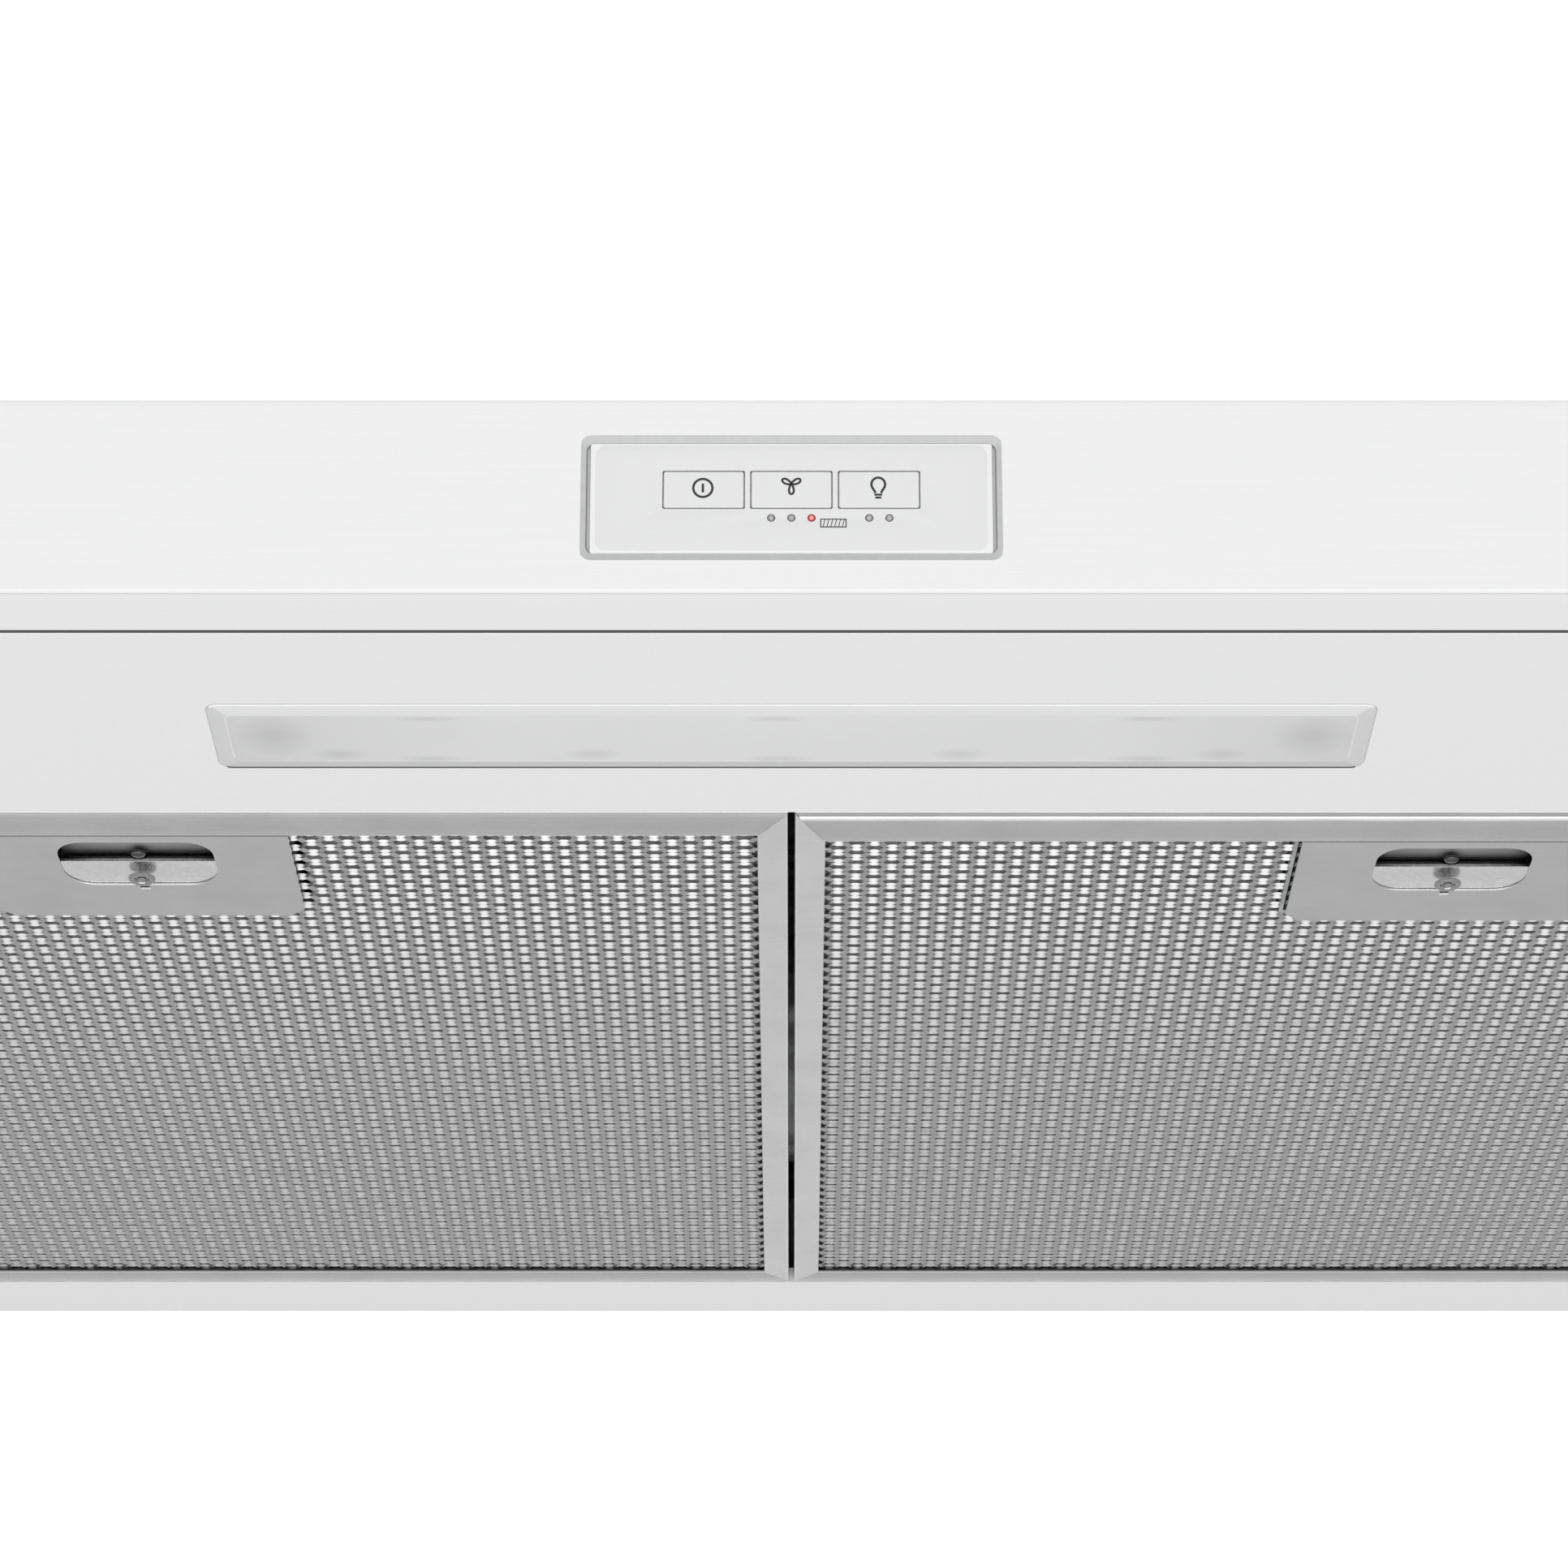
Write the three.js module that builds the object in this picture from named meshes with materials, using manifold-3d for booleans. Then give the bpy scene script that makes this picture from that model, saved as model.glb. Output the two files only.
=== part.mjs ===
// Under cabinet range hood: a slant-top sheet steel canopy with a control fascia,
// an LED light, two latched mesh grease filters and a twin centrifugal blower.
// Millimetres, +Z up, +X to the right seen from the front, front at -Y.
// The origin is the centre of the flat top, where the hood meets the cabinet.

import * as THREE from 'three';
import { mergeVertices } from 'three/addons/utils/BufferGeometryUtils.js';
import Module from 'manifold-3d';

// ---------------------------------------------------------------- driving sizes

const WIDTH = 759;
const DEPTH = 500;
const HEIGHT = 140;
const TOP_DEPTH = 305;
const SHEET = 1;
const GAP = 0.3;

const FASCIA_SLANT = 50;
const FASCIA_LEAN = THREE.MathUtils.degToRad(12);
const LIP_DEPTH = 19.1;
const SEAM = 1.2;
const UPSTAND = 12;

const PANEL_REAR_Y = -221;
const LENS = { length: 300, frontY: -280.6, rearY: -247, proud: 0.9, corner: 3 };

const FILTER = { width: 360, frontY: -220.7, rearY: 124.3, thick: 9, between: 1.8 };
const FILTER_RAIL = { front: 13, side: 8.4 };
const MESH_THICK = 1.5;

const LATCH_PLATE = { width: 86, frontY: -207.4, rearY: -159.4, chamfer: 4 };
const FINGER = { width: 43.5, frontY: -204.1, rearY: -178.1, corner: 9 };
const SLIDER_LIP_Y = -193.1;
const RIVET = { radius: 3.9, y: -183.1 };

const RECESS = { width: 103.5, low: 8.4, high: 41.2, depth: 1.5, wall: 2.4 };
const OVERLAY = { width: 98, low: 10.7, high: 37.8, front: 0.4, thick: 0.8, corner: 2.4 };
const BUTTON = { width: 20, low: 21.7, high: 31.45, pitch: 21.55, front: 0.2 };
const LAMP = { radius: 0.85, height: 19.2 };
const LAMP_PLACES = {
  speed_led_1: -4.95, speed_led_2: 0, filter_led: 4.95, light_led_1: 19.1, light_led_2: 24.05,
};

const DUCT = { width: 254, depth: 83, frontY: 31.5, height: 50 };
const FLAP = { z: 8, hingeY: 110.5, knuckle: 2.6, pin: 1.2 };

const ROTOR = { y: 44.5, z: -62, wheelRadius: 40, wheelWidth: 66, wheelInner: 50, shaft: 4 };
const BLOWER = { half: 130, cutoff: 43, outlet: 69, inlet: 33 };
const MOTOR = { radius: 32, half: 38 };

// ---------------------------------------------------------------- derived places

const HALF = WIDTH / 2;
const FLOOR_Z = -HEIGHT;
const BACK_Y = TOP_DEPTH / 2;
const TOP_FRONT_Y = -BACK_Y;
const FASCIA_TOP_Y = BACK_Y - DEPTH;
const FASCIA_TOP_Z = FLOOR_Z + FASCIA_SLANT * Math.cos(FASCIA_LEAN);
const FASCIA_FOOT_Y = FASCIA_TOP_Y + FASCIA_SLANT * Math.sin(FASCIA_LEAN);
const LIP_REAR_Y = FASCIA_FOOT_Y + LIP_DEPTH;
const PANEL_FRONT_Y = LIP_REAR_Y + SEAM;
const INSIDE = HALF - SHEET - GAP;
const FILTER_X = (FILTER.width + FILTER.between) / 2;
const SIDE_LEDGE_X = FILTER_X + FILTER.width / 2 + GAP;
const FILTER_TOP_Z = FLOOR_Z + FILTER.thick;
const DUCT_REAR_Y = DUCT.frontY + DUCT.depth;
const COLLAR_FOOT_Z = -2 * SHEET - GAP;
const BLOWER_TOP_Z = COLLAR_FOOT_Z - GAP;

// ---------------------------------------------------------------- materials

const paint = { color: 0xeceded, roughness: 0.38, metalness: 0.05 };
const galvanised = { color: 0xb9bdc0, roughness: 0.45, metalness: 0.8 };
const aluminium = { color: 0xc4c6c8, roughness: 0.35, metalness: 0.9 };
const steel = { color: 0xcfd1d3, roughness: 0.25, metalness: 0.95 };
const greyPlastic = { color: 0xdedfe0, roughness: 0.45, metalness: 0 };
const buttonPlastic = { color: 0xe4e5e6, roughness: 0.4, metalness: 0 };
const frosted = { color: 0xe6e7e8, roughness: 0.55, metalness: 0 };
const clearGrey = { color: 0xa9abad, roughness: 0.3, metalness: 0 };
const clearRed = { color: 0xd8433f, roughness: 0.3, metalness: 0 };
const board = { color: 0x2f6b3a, roughness: 0.5, metalness: 0 };
const whiteBoard = { color: 0xf2f2ee, roughness: 0.5, metalness: 0 };
const darkPlastic = { color: 0x26282a, roughness: 0.5, metalness: 0 };
const castAlloy = { color: 0x9b9ea1, roughness: 0.5, metalness: 0.7 };

// ---------------------------------------------------------------- solid helpers

const wasm = await Module();
wasm.setup();

function toSolid(geometry) {
  const plain = geometry.clone();
  plain.deleteAttribute('normal');
  plain.deleteAttribute('uv');
  const merged = mergeVertices(plain, 1e-4);
  return new wasm.Manifold(new wasm.Mesh({
    numProp: 3,
    vertProperties: new Float32Array(merged.attributes.position.array),
    triVerts: new Uint32Array(merged.index.array),
  }));
}

function toGeometry(solid) {
  const mesh = solid.getMesh();
  const geometry = new THREE.BufferGeometry();
  geometry.setAttribute('position', new THREE.BufferAttribute(mesh.vertProperties, 3));
  geometry.setIndex(new THREE.BufferAttribute(mesh.triVerts, 1));
  geometry.computeVertexNormals();
  return geometry;
}

function join(first, ...others) {
  return toGeometry(others.reduce((sum, other) => sum.add(toSolid(other)), toSolid(first)));
}

function cut(first, ...tools) {
  return toGeometry(tools.reduce((rest, tool) => rest.subtract(toSolid(tool)), toSolid(first)));
}

// ---------------------------------------------------------------- shape helpers

function box(x0, x1, y0, y1, z0, z1) {
  const block = new THREE.BoxGeometry(x1 - x0, y1 - y0, z1 - z0);
  return block.translate((x0 + x1) / 2, (y0 + y1) / 2, (z0 + z1) / 2);
}

// A block whose lower face is smaller than its upper face by `inset` on every side.
function taperedBlock(x0, x1, y0, y1, z0, z1, inset) {
  const block = new THREE.BoxGeometry(x1 - x0, y1 - y0, z1 - z0);
  const place = block.attributes.position;
  for (let i = 0; i < place.count; i += 1) {
    if (place.getZ(i) < 0) {
      place.setX(i, place.getX(i) - Math.sign(place.getX(i)) * inset);
      place.setY(i, place.getY(i) - Math.sign(place.getY(i)) * inset);
    }
  }
  return block.translate((x0 + x1) / 2, (y0 + y1) / 2, (z0 + z1) / 2);
}

function outline(points) {
  return new THREE.Shape(points.map(([a, b]) => new THREE.Vector2(a, b)));
}

function roundedRect(x0, x1, y0, y1, r) {
  const shape = new THREE.Shape();
  shape.moveTo(x0 + r, y0);
  shape.lineTo(x1 - r, y0);
  shape.absarc(x1 - r, y0 + r, r, -Math.PI / 2, 0);
  shape.lineTo(x1, y1 - r);
  shape.absarc(x1 - r, y1 - r, r, 0, Math.PI / 2);
  shape.lineTo(x0 + r, y1);
  shape.absarc(x0 + r, y1 - r, r, Math.PI / 2, Math.PI);
  shape.lineTo(x0, y0 + r);
  shape.absarc(x0 + r, y0 + r, r, Math.PI, 1.5 * Math.PI);
  return shape;
}

function prismZ(shape, z0, z1) {
  const options = { depth: z1 - z0, bevelEnabled: false, curveSegments: 5 };
  return new THREE.ExtrudeGeometry(shape, options).translate(0, 0, z0);
}

// An outline of [y, z] points, extruded along X.
function prismX(points, x0, x1) {
  const options = { depth: x1 - x0, bevelEnabled: false };
  const turn = new THREE.Matrix4().makeBasis(
    new THREE.Vector3(0, 1, 0), new THREE.Vector3(0, 0, 1), new THREE.Vector3(1, 0, 0),
  );
  return new THREE.ExtrudeGeometry(outline(points), options).applyMatrix4(turn).translate(x0, 0, 0);
}

function cylinderX(radius, x0, x1, y, z, sides = 32) {
  const rod = new THREE.CylinderGeometry(radius, radius, x1 - x0, sides);
  return rod.rotateZ(Math.PI / 2).translate((x0 + x1) / 2, y, z);
}

function cylinderY(radius, y0, y1, x, z, sides = 24) {
  const rod = new THREE.CylinderGeometry(radius, radius, y1 - y0, sides);
  return rod.translate(x, (y0 + y1) / 2, z);
}

function cylinderZ(radius, z0, z1, x, y, sides = 24) {
  const rod = new THREE.CylinderGeometry(radius, radius, z1 - z0, sides);
  return rod.rotateX(Math.PI / 2).translate(x, y, (z0 + z1) / 2);
}

// A profile turned about the Z axis through (x, y); its points are [radius, z].
function turnedZ(points, x, y, sides = 24) {
  const profile = points.map(([r, z]) => new THREE.Vector2(r, z));
  return new THREE.LatheGeometry(profile, sides).rotateX(Math.PI / 2).translate(x, y, 0);
}

function lineNormal(a, b) {
  const run = Math.hypot(b[0] - a[0], b[1] - a[1]);
  return [-(b[1] - a[1]) / run, (b[0] - a[0]) / run];
}

// The point at distance d to the left of corner b of the path a, b, c.
function mitre(a, b, c, d) {
  const n1 = lineNormal(a, b);
  const n2 = lineNormal(b, c);
  const k = d / (1 + n1[0] * n2[0] + n1[1] * n2[1]);
  return [b[0] + (n1[0] + n2[0]) * k, b[1] + (n1[1] + n2[1]) * k];
}

// A path moved by d to its left.
function offsetPath(path, d) {
  const last = path.length - 1;
  return path.map((point, i) => {
    if (i === 0 || i === last) {
      const n = i === 0 ? lineNormal(path[0], path[1]) : lineNormal(path[last - 1], path[last]);
      return [point[0] + n[0] * d, point[1] + n[1] * d];
    }
    return mitre(path[i - 1], point, path[i + 1], d);
  });
}

// The same path with each inner corner turned into a short arc.
function bent(path, radius, steps = 3) {
  const result = [path[0]];
  for (let i = 1; i < path.length - 1; i += 1) {
    const corner = new THREE.Vector2(...path[i]);
    const back = new THREE.Vector2(...path[i - 1]).sub(corner).normalize();
    const on = new THREE.Vector2(...path[i + 1]).sub(corner).normalize();
    const reach = radius / Math.tan(Math.acos(back.dot(on)) / 2);
    const start = corner.clone().addScaledVector(back, reach);
    const end = corner.clone().addScaledVector(on, reach);
    const arc = new THREE.QuadraticBezierCurve(start, corner, end);
    arc.getPoints(steps).forEach((p) => result.push([p.x, p.y]));
  }
  result.push(path[path.length - 1]);
  return result;
}

// The closed outline of a sheet whose outer face follows the path and whose metal is on its left.
function sheetOutline(path, thick = SHEET) {
  return [...path, ...offsetPath(path, thick).reverse()];
}

// ---------------------------------------------------------------- scene graph

const hood = new THREE.Group();

function place(group, name, geometry, finish) {
  const mesh = new THREE.Mesh(geometry, new THREE.MeshStandardMaterial(finish));
  mesh.name = name;
  group.add(mesh);
  return mesh;
}

function addGroup(parent, x = 0, y = 0, z = 0) {
  const group = new THREE.Group();
  group.position.set(x, y, z);
  parent.add(group);
  return group;
}

// ---------------------------------------------------------------- canopy shell

const SLOPE_FOOT = [FASCIA_TOP_Y, FASCIA_TOP_Z];
const SLOPE_HEAD = [TOP_FRONT_Y, 0];
const KEYHOLES = [[-345, -120], [345, -120], [-345, 120], [345, 120]];
const CABLE_ENTRY = { x: 290, y: 82, radius: 11 };

function keyhole(x, y) {
  const reach = 14;
  const head = cylinderZ(5, -3, 3, x, y, 20);
  return join(head, box(x - 2.6, x + 2.6, y, y + reach, -3, 3));
}

function topPanel() {
  const path = [[BACK_Y, 0], SLOPE_HEAD, SLOPE_FOOT];
  const sheet = prismX(sheetOutline(path), -HALF, HALF);
  const ductX = DUCT.width / 2 + GAP;
  const duct = box(-ductX, ductX, DUCT.frontY - GAP, DUCT_REAR_Y + GAP, -3, 3);
  const entry = cylinderZ(CABLE_ENTRY.radius, -3, 3, CABLE_ENTRY.x, CABLE_ENTRY.y, 28);
  return cut(sheet, duct, entry, ...KEYHOLES.map(([x, y]) => keyhole(x, y)));
}

// The hood's silhouette from the side, moved in from the top, slope and fascia sheets.
function sideOutline() {
  const clear = SHEET + GAP;
  const path = [
    [BACK_Y + 10, 0], SLOPE_HEAD, SLOPE_FOOT, [FASCIA_FOOT_Y, FLOOR_Z],
    [FASCIA_FOOT_Y + Math.tan(FASCIA_LEAN) * 10, FLOOR_Z - 10],
  ];
  const inner = offsetPath(path, clear);
  const brow = inner[2];
  const foot = inner[3][0];
  const chamfer = 4;
  const lean = chamfer * Math.tan(FASCIA_LEAN);
  const slope = (SLOPE_HEAD[1] - SLOPE_FOOT[1]) / (SLOPE_HEAD[0] - SLOPE_FOOT[0]);
  return [
    [BACK_Y, -clear], inner[1],
    [brow[0] + chamfer, brow[1] + chamfer * slope], [brow[0] + lean, brow[1] - chamfer],
    [foot - lean, FLOOR_Z + chamfer], [foot + chamfer, FLOOR_Z], [BACK_Y, FLOOR_Z],
  ];
}

function sidePanel(side) {
  const outer = side * HALF;
  const inner = side * (HALF - SHEET);
  const low = Math.min(outer, inner);
  const high = Math.max(outer, inner);
  const plate = prismX(sideOutline(), low, high);
  const ledge = side * SIDE_LEDGE_X;
  const bottom = box(
    Math.min(ledge, outer), Math.max(ledge, outer),
    PANEL_REAR_Y + GAP, BACK_Y, FLOOR_Z, FLOOR_Z + SHEET,
  );
  const tab = side * (HALF - 14);
  const topZ = -SHEET - GAP;
  const top = box(
    Math.min(tab, outer), Math.max(tab, outer), TOP_FRONT_Y + 6, 110, topZ - SHEET, topZ,
  );
  const cornerNotch = box(-HALF, HALF, BACK_Y - SHEET - GAP, BACK_Y + 1, FLOOR_Z + 2 * SHEET, 1);
  const keepPlate = prismX(sideOutline(), low, high);
  return join(cut(join(plate, bottom, top), cornerNotch), keepPlate);
}

function backPanel() {
  const plate = box(-INSIDE, INSIDE, BACK_Y - SHEET, BACK_Y, FLOOR_Z + SHEET + GAP, -SHEET - GAP);
  const duct = box(-DUCT.width / 2, DUCT.width / 2, BACK_Y - 3, BACK_Y + 3, -93, -10);
  const entry = cylinderY(CABLE_ENTRY.radius, BACK_Y - 3, BACK_Y + 3, CABLE_ENTRY.x, -90, 24);
  return cut(plate, duct, entry);
}

function rearKnockout() {
  const y = BACK_Y - SHEET - GAP;
  return box(-DUCT.width / 2 - 6, DUCT.width / 2 + 6, y - SHEET, y, -99, -4);
}

function rearFilterRail() {
  const foot = FILTER.rearY + 0.45;
  const path = [[foot, FLOOR_Z + 5.2], [foot, FLOOR_Z], [BACK_Y, FLOOR_Z]];
  return prismX(sheetOutline(path), -SIDE_LEDGE_X + GAP, SIDE_LEDGE_X - GAP);
}

// ---------------------------------------------------------------- light

function lensHole(clear) {
  const half = LENS.length / 2 + clear;
  return roundedRect(-half, half, LENS.frontY - clear, LENS.rearY + clear, LENS.corner);
}

function undersidePanel() {
  const top = FLOOR_Z + UPSTAND;
  const path = [
    [PANEL_REAR_Y, top], [PANEL_REAR_Y, FLOOR_Z], [PANEL_FRONT_Y, FLOOR_Z], [PANEL_FRONT_Y, top],
  ];
  const outer = bent(path.reverse(), 1.2, 2);
  const sheet = prismX(sheetOutline(outer), -INSIDE, INSIDE);
  return cut(sheet, prismZ(lensHole(GAP), FLOOR_Z - 1, FLOOR_Z + 2));
}

function lightLens() {
  const rim = 3;
  const face = prismZ(lensHole(0), FLOOR_Z, FLOOR_Z + 2.2);
  const bevel = taperedBlock(
    -LENS.length / 2 + 1, LENS.length / 2 - 1, LENS.frontY + 1, LENS.rearY - 1,
    FLOOR_Z - LENS.proud, FLOOR_Z + 0.5, 1.6,
  );
  const flangeZ = FLOOR_Z + SHEET + GAP;
  const flange = prismZ(lensHole(rim), flangeZ, flangeZ + 1.4);
  const hollow = box(
    -LENS.length / 2 + 4, LENS.length / 2 - 4, LENS.frontY + 4, LENS.rearY - 4,
    FLOOR_Z + 0.9, FLOOR_Z + 6,
  );
  return cut(join(face, bevel, flange), hollow);
}

const TRAY = { side: 156, frontY: -287, rearY: -240.6, topZ: -114 };

function lightTray() {
  const low = FLOOR_Z + SHEET + GAP;
  const outer = box(-TRAY.side, TRAY.side, TRAY.frontY, TRAY.rearY, low, TRAY.topZ);
  const inner = box(
    -TRAY.side + SHEET, TRAY.side - SHEET, TRAY.frontY + SHEET, TRAY.rearY - SHEET,
    low - 1, TRAY.topZ - SHEET,
  );
  return cut(outer, inner);
}

function ledBoard() {
  const z = TRAY.topZ - SHEET - GAP;
  return box(-140, 140, -275, -253, z - 1.6, z);
}

function ledDriver() {
  const z = FLOOR_Z + SHEET + GAP;
  const body = box(176, 250, -284, -246, z, z + 22);
  const leftEar = box(168, 177, -272, -258, z, z + 2);
  const rightEar = box(249, 258, -272, -258, z, z + 2);
  return join(body, leftEar, rightEar);
}

function buildShell() {
  const shell = addGroup(hood);
  place(shell, 'top_panel', topPanel(), paint);
  place(shell, 'left_side_panel', sidePanel(-1), paint);
  place(shell, 'right_side_panel', sidePanel(1), paint);
  place(shell, 'back_panel', backPanel(), paint);
  place(shell, 'rear_knockout', rearKnockout(), galvanised);
  place(shell, 'rear_filter_rail', rearFilterRail(), paint);
  place(shell, 'underside_panel', undersidePanel(), paint);
  place(shell, 'light_lens', lightLens(), frosted);
  place(shell, 'light_tray', lightTray(), galvanised);
  place(shell, 'led_board', ledBoard(), whiteBoard);
  place(shell, 'led_driver', ledDriver(), greyPlastic);
}

// ---------------------------------------------------------------- fascia and controls

// World [y, z] to the fascia's own frame: y inward from its face, z up its slant.
function toFascia([y, z]) {
  const run = y - FASCIA_FOOT_Y;
  const rise = z - FLOOR_Z;
  const c = Math.cos(FASCIA_LEAN);
  const s = Math.sin(FASCIA_LEAN);
  return [run * c + rise * s, rise * c - run * s];
}

function fasciaTopFlange() {
  const clear = SHEET + GAP;
  const slope = offsetPath([SLOPE_HEAD, SLOPE_FOOT], clear);
  const run = Math.hypot(slope[1][0] - slope[0][0], slope[1][1] - slope[0][1]);
  const way = [(slope[0][0] - slope[1][0]) / run, (slope[0][1] - slope[1][1]) / run];
  const corner = mitre(SLOPE_HEAD, SLOPE_FOOT, [FASCIA_FOOT_Y, FLOOR_Z], 0);
  const drop = clear / Math.cos(FASCIA_LEAN + Math.atan2(-way[1], -way[0]) + Math.PI / 2);
  const down = [Math.sin(FASCIA_LEAN), -Math.cos(FASCIA_LEAN)];
  const start = [corner[0] + down[0] * Math.abs(drop), corner[1] + down[1] * Math.abs(drop)];
  return [start, [start[0] + way[0] * 14, start[1] + way[1] * 14]];
}

function recessCutter() {
  const half = RECESS.width / 2;
  const block = taperedBlock(
    -half, half, RECESS.low, RECESS.high, -RECESS.depth, RECESS.depth, RECESS.wall,
  );
  // The block's small face turns to look along +Y, into the hood.
  const turn = new THREE.Matrix4().makeBasis(
    new THREE.Vector3(1, 0, 0), new THREE.Vector3(0, 0, 1), new THREE.Vector3(0, -1, 0),
  );
  return block.applyMatrix4(turn);
}

function frontFascia() {
  const lipEnd = [LIP_REAR_Y, FLOOR_Z + UPSTAND];
  const path = [
    fasciaTopFlange()[1], fasciaTopFlange()[0], [FASCIA_FOOT_Y, FLOOR_Z],
    [LIP_REAR_Y, FLOOR_Z], lipEnd,
  ];
  const sheet = prismX(sheetOutline(bent(path, 1.6)).map(toFascia), -HALF, HALF);
  const half = RECESS.width / 2 + 1;
  const stamping = box(
    -half, half, 0.5, RECESS.depth + SHEET, RECESS.low - 0.6, RECESS.high + 0.6,
  );
  const window = box(
    -OVERLAY.width / 2 + 2.5, OVERLAY.width / 2 - 2.5, -2, 6, OVERLAY.low + 2, OVERLAY.high - 2,
  );
  const corners = [-1, 1].map((side) => {
    const far = side * (HALF + 1);
    const near = side * INSIDE;
    return box(Math.min(near, far), Math.max(near, far), 1.35, 60, -12, 60);
  });
  return cut(join(sheet, stamping), recessCutter(), window, ...corners);
}

// A rounded plate in the fascia's frame, from y0 to y1 inward.
function fasciaPlate(x0, x1, low, high, corner, y0, y1) {
  const plate = prismZ(roundedRect(x0, x1, low, high, corner), 0, y1 - y0);
  return plate.rotateX(Math.PI / 2).translate(0, y1, 0);
}

function controlOverlay() {
  const back = OVERLAY.front + OVERLAY.thick;
  const half = OVERLAY.width / 2;
  const plate = fasciaPlate(
    -half, half, OVERLAY.low, OVERLAY.high, OVERLAY.corner, OVERLAY.front, back,
  );
  const windows = [-1, 0, 1].map((i) => {
    const x = i * BUTTON.pitch;
    return box(x - BUTTON.width / 2, x + BUTTON.width / 2, -1, 3, BUTTON.low, BUTTON.high);
  });
  const lamps = Object.values(LAMP_PLACES).map(
    (x) => cylinderY(LAMP.radius + GAP, -1, 3, x, LAMP.height, 16),
  );
  return cut(plate, ...windows, ...lamps);
}

function button(x) {
  const half = BUTTON.width / 2 - GAP;
  const cap = box(x - half, x + half, BUTTON.front, 1.7, BUTTON.low + GAP, BUTTON.high - GAP);
  const collar = box(x - half - 0.5, x + half + 0.5, 1.55, 2.3, BUTTON.low - 0.3, BUTTON.high + 0.3);
  const stem = cylinderY(2, 2.2, 8.5, x, (BUTTON.low + BUTTON.high) / 2, 16);
  return join(cap, collar, stem);
}

const CASE = { half: 51, low: 9.4, high: 40.2, front: 2.85, back: 17.1, wall: 1.4 };
const CONTROL_BOARD = { front: 13.2, thick: 1.6 };

function controlHousing() {
  const outer = box(-CASE.half, CASE.half, CASE.front, CASE.back, CASE.low, CASE.high);
  const inner = box(
    -CASE.half + CASE.wall, CASE.half - CASE.wall, CASE.front - 1, CASE.back - CASE.wall,
    CASE.low + CASE.wall, CASE.high - CASE.wall,
  );
  const outlet = cylinderX(3.2, CASE.half - 3, CASE.half + 3, 9.5, 30, 20);
  return cut(outer, inner, outlet);
}

function buildControls() {
  const fascia = addGroup(hood, 0, FASCIA_FOOT_Y, FLOOR_Z);
  fascia.rotation.x = FASCIA_LEAN;
  place(fascia, 'front_fascia', frontFascia(), paint);
  place(fascia, 'control_overlay', controlOverlay(), greyPlastic);
  place(fascia, 'control_housing', controlHousing(), darkPlastic);
  const middle = (BUTTON.low + BUTTON.high) / 2;
  const boardBack = CONTROL_BOARD.front + CONTROL_BOARD.thick;
  const boardBox = box(-47, 47, CONTROL_BOARD.front, boardBack, 12, 38);
  place(fascia, 'control_board', boardBox, board);
  ['power', 'fan', 'light'].forEach((use, i) => {
    const x = (i - 1) * BUTTON.pitch;
    place(fascia, `${use}_button`, button(x), buttonPlastic);
    const body = box(x - 3, x + 3, 11.2, CONTROL_BOARD.front - GAP, middle - 3, middle + 3);
    const plunger = cylinderY(1.7, 10, 11.5, x, middle, 14);
    place(fascia, `${use}_switch`, join(body, plunger), darkPlastic);
  });
  Object.entries(LAMP_PLACES).forEach(([name, x]) => {
    const pipe = cylinderY(LAMP.radius, 0.25, 8, x, LAMP.height, 16);
    place(fascia, name, pipe, name === 'filter_led' ? clearRed : clearGrey);
  });
}

// ---------------------------------------------------------------- grease filters

// All filter pieces are drawn about the filter's own centre line, x = 0.
const LATCH_BOX = { half: 43.2, frontY: -219.4, rearY: -159.1, topZ: FILTER_TOP_Z - GAP };
const SLIDER = { z0: -137.1, z1: -135.9, half: 24, rearY: -176, arm: 4, barY: -214 };
const TONGUE = { half: 12, z0: -136.2, z1: -134.4 };

function tongueSlot() {
  return box(
    -TONGUE.half - GAP, TONGUE.half + GAP, FILTER.frontY - 2, LATCH_BOX.frontY + 3,
    SLIDER.z0 - GAP, TONGUE.z1 + GAP,
  );
}

function filterFrame() {
  const half = FILTER.width / 2;
  const outer = box(-half, half, FILTER.frontY, FILTER.rearY, FLOOR_Z, FILTER_TOP_Z);
  const pocket = box(
    -half + SHEET, half - SHEET, FILTER.frontY + SHEET, FILTER.rearY - SHEET,
    FLOOR_Z + SHEET, FILTER_TOP_Z + 1,
  );
  const opening = box(
    -half + FILTER_RAIL.side, half - FILTER_RAIL.side,
    FILTER.frontY + FILTER_RAIL.front, FILTER.rearY - FILTER_RAIL.side,
    FLOOR_Z - 1, FILTER_TOP_Z,
  );
  const tabs = [-100, 100].map((x) => {
    const z = FLOOR_Z + 5.6;
    return box(x - 16, x + 16, FILTER.rearY - 0.5, FILTER.rearY + 8, z, z + SHEET);
  });
  return cut(join(cut(outer, pocket), ...tabs), opening, tongueSlot());
}

function filterMesh() {
  const half = FILTER.width / 2 - SHEET - GAP;
  const z = FLOOR_Z + SHEET + GAP;
  const pad = box(
    -half, half, FILTER.frontY + SHEET + GAP, FILTER.rearY - SHEET - GAP, z, z + MESH_THICK,
  );
  const notch = box(
    -LATCH_BOX.half - GAP, LATCH_BOX.half + GAP, FILTER.frontY, LATCH_BOX.rearY + GAP,
    z - 1, z + 4,
  );
  return cut(pad, notch);
}

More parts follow.
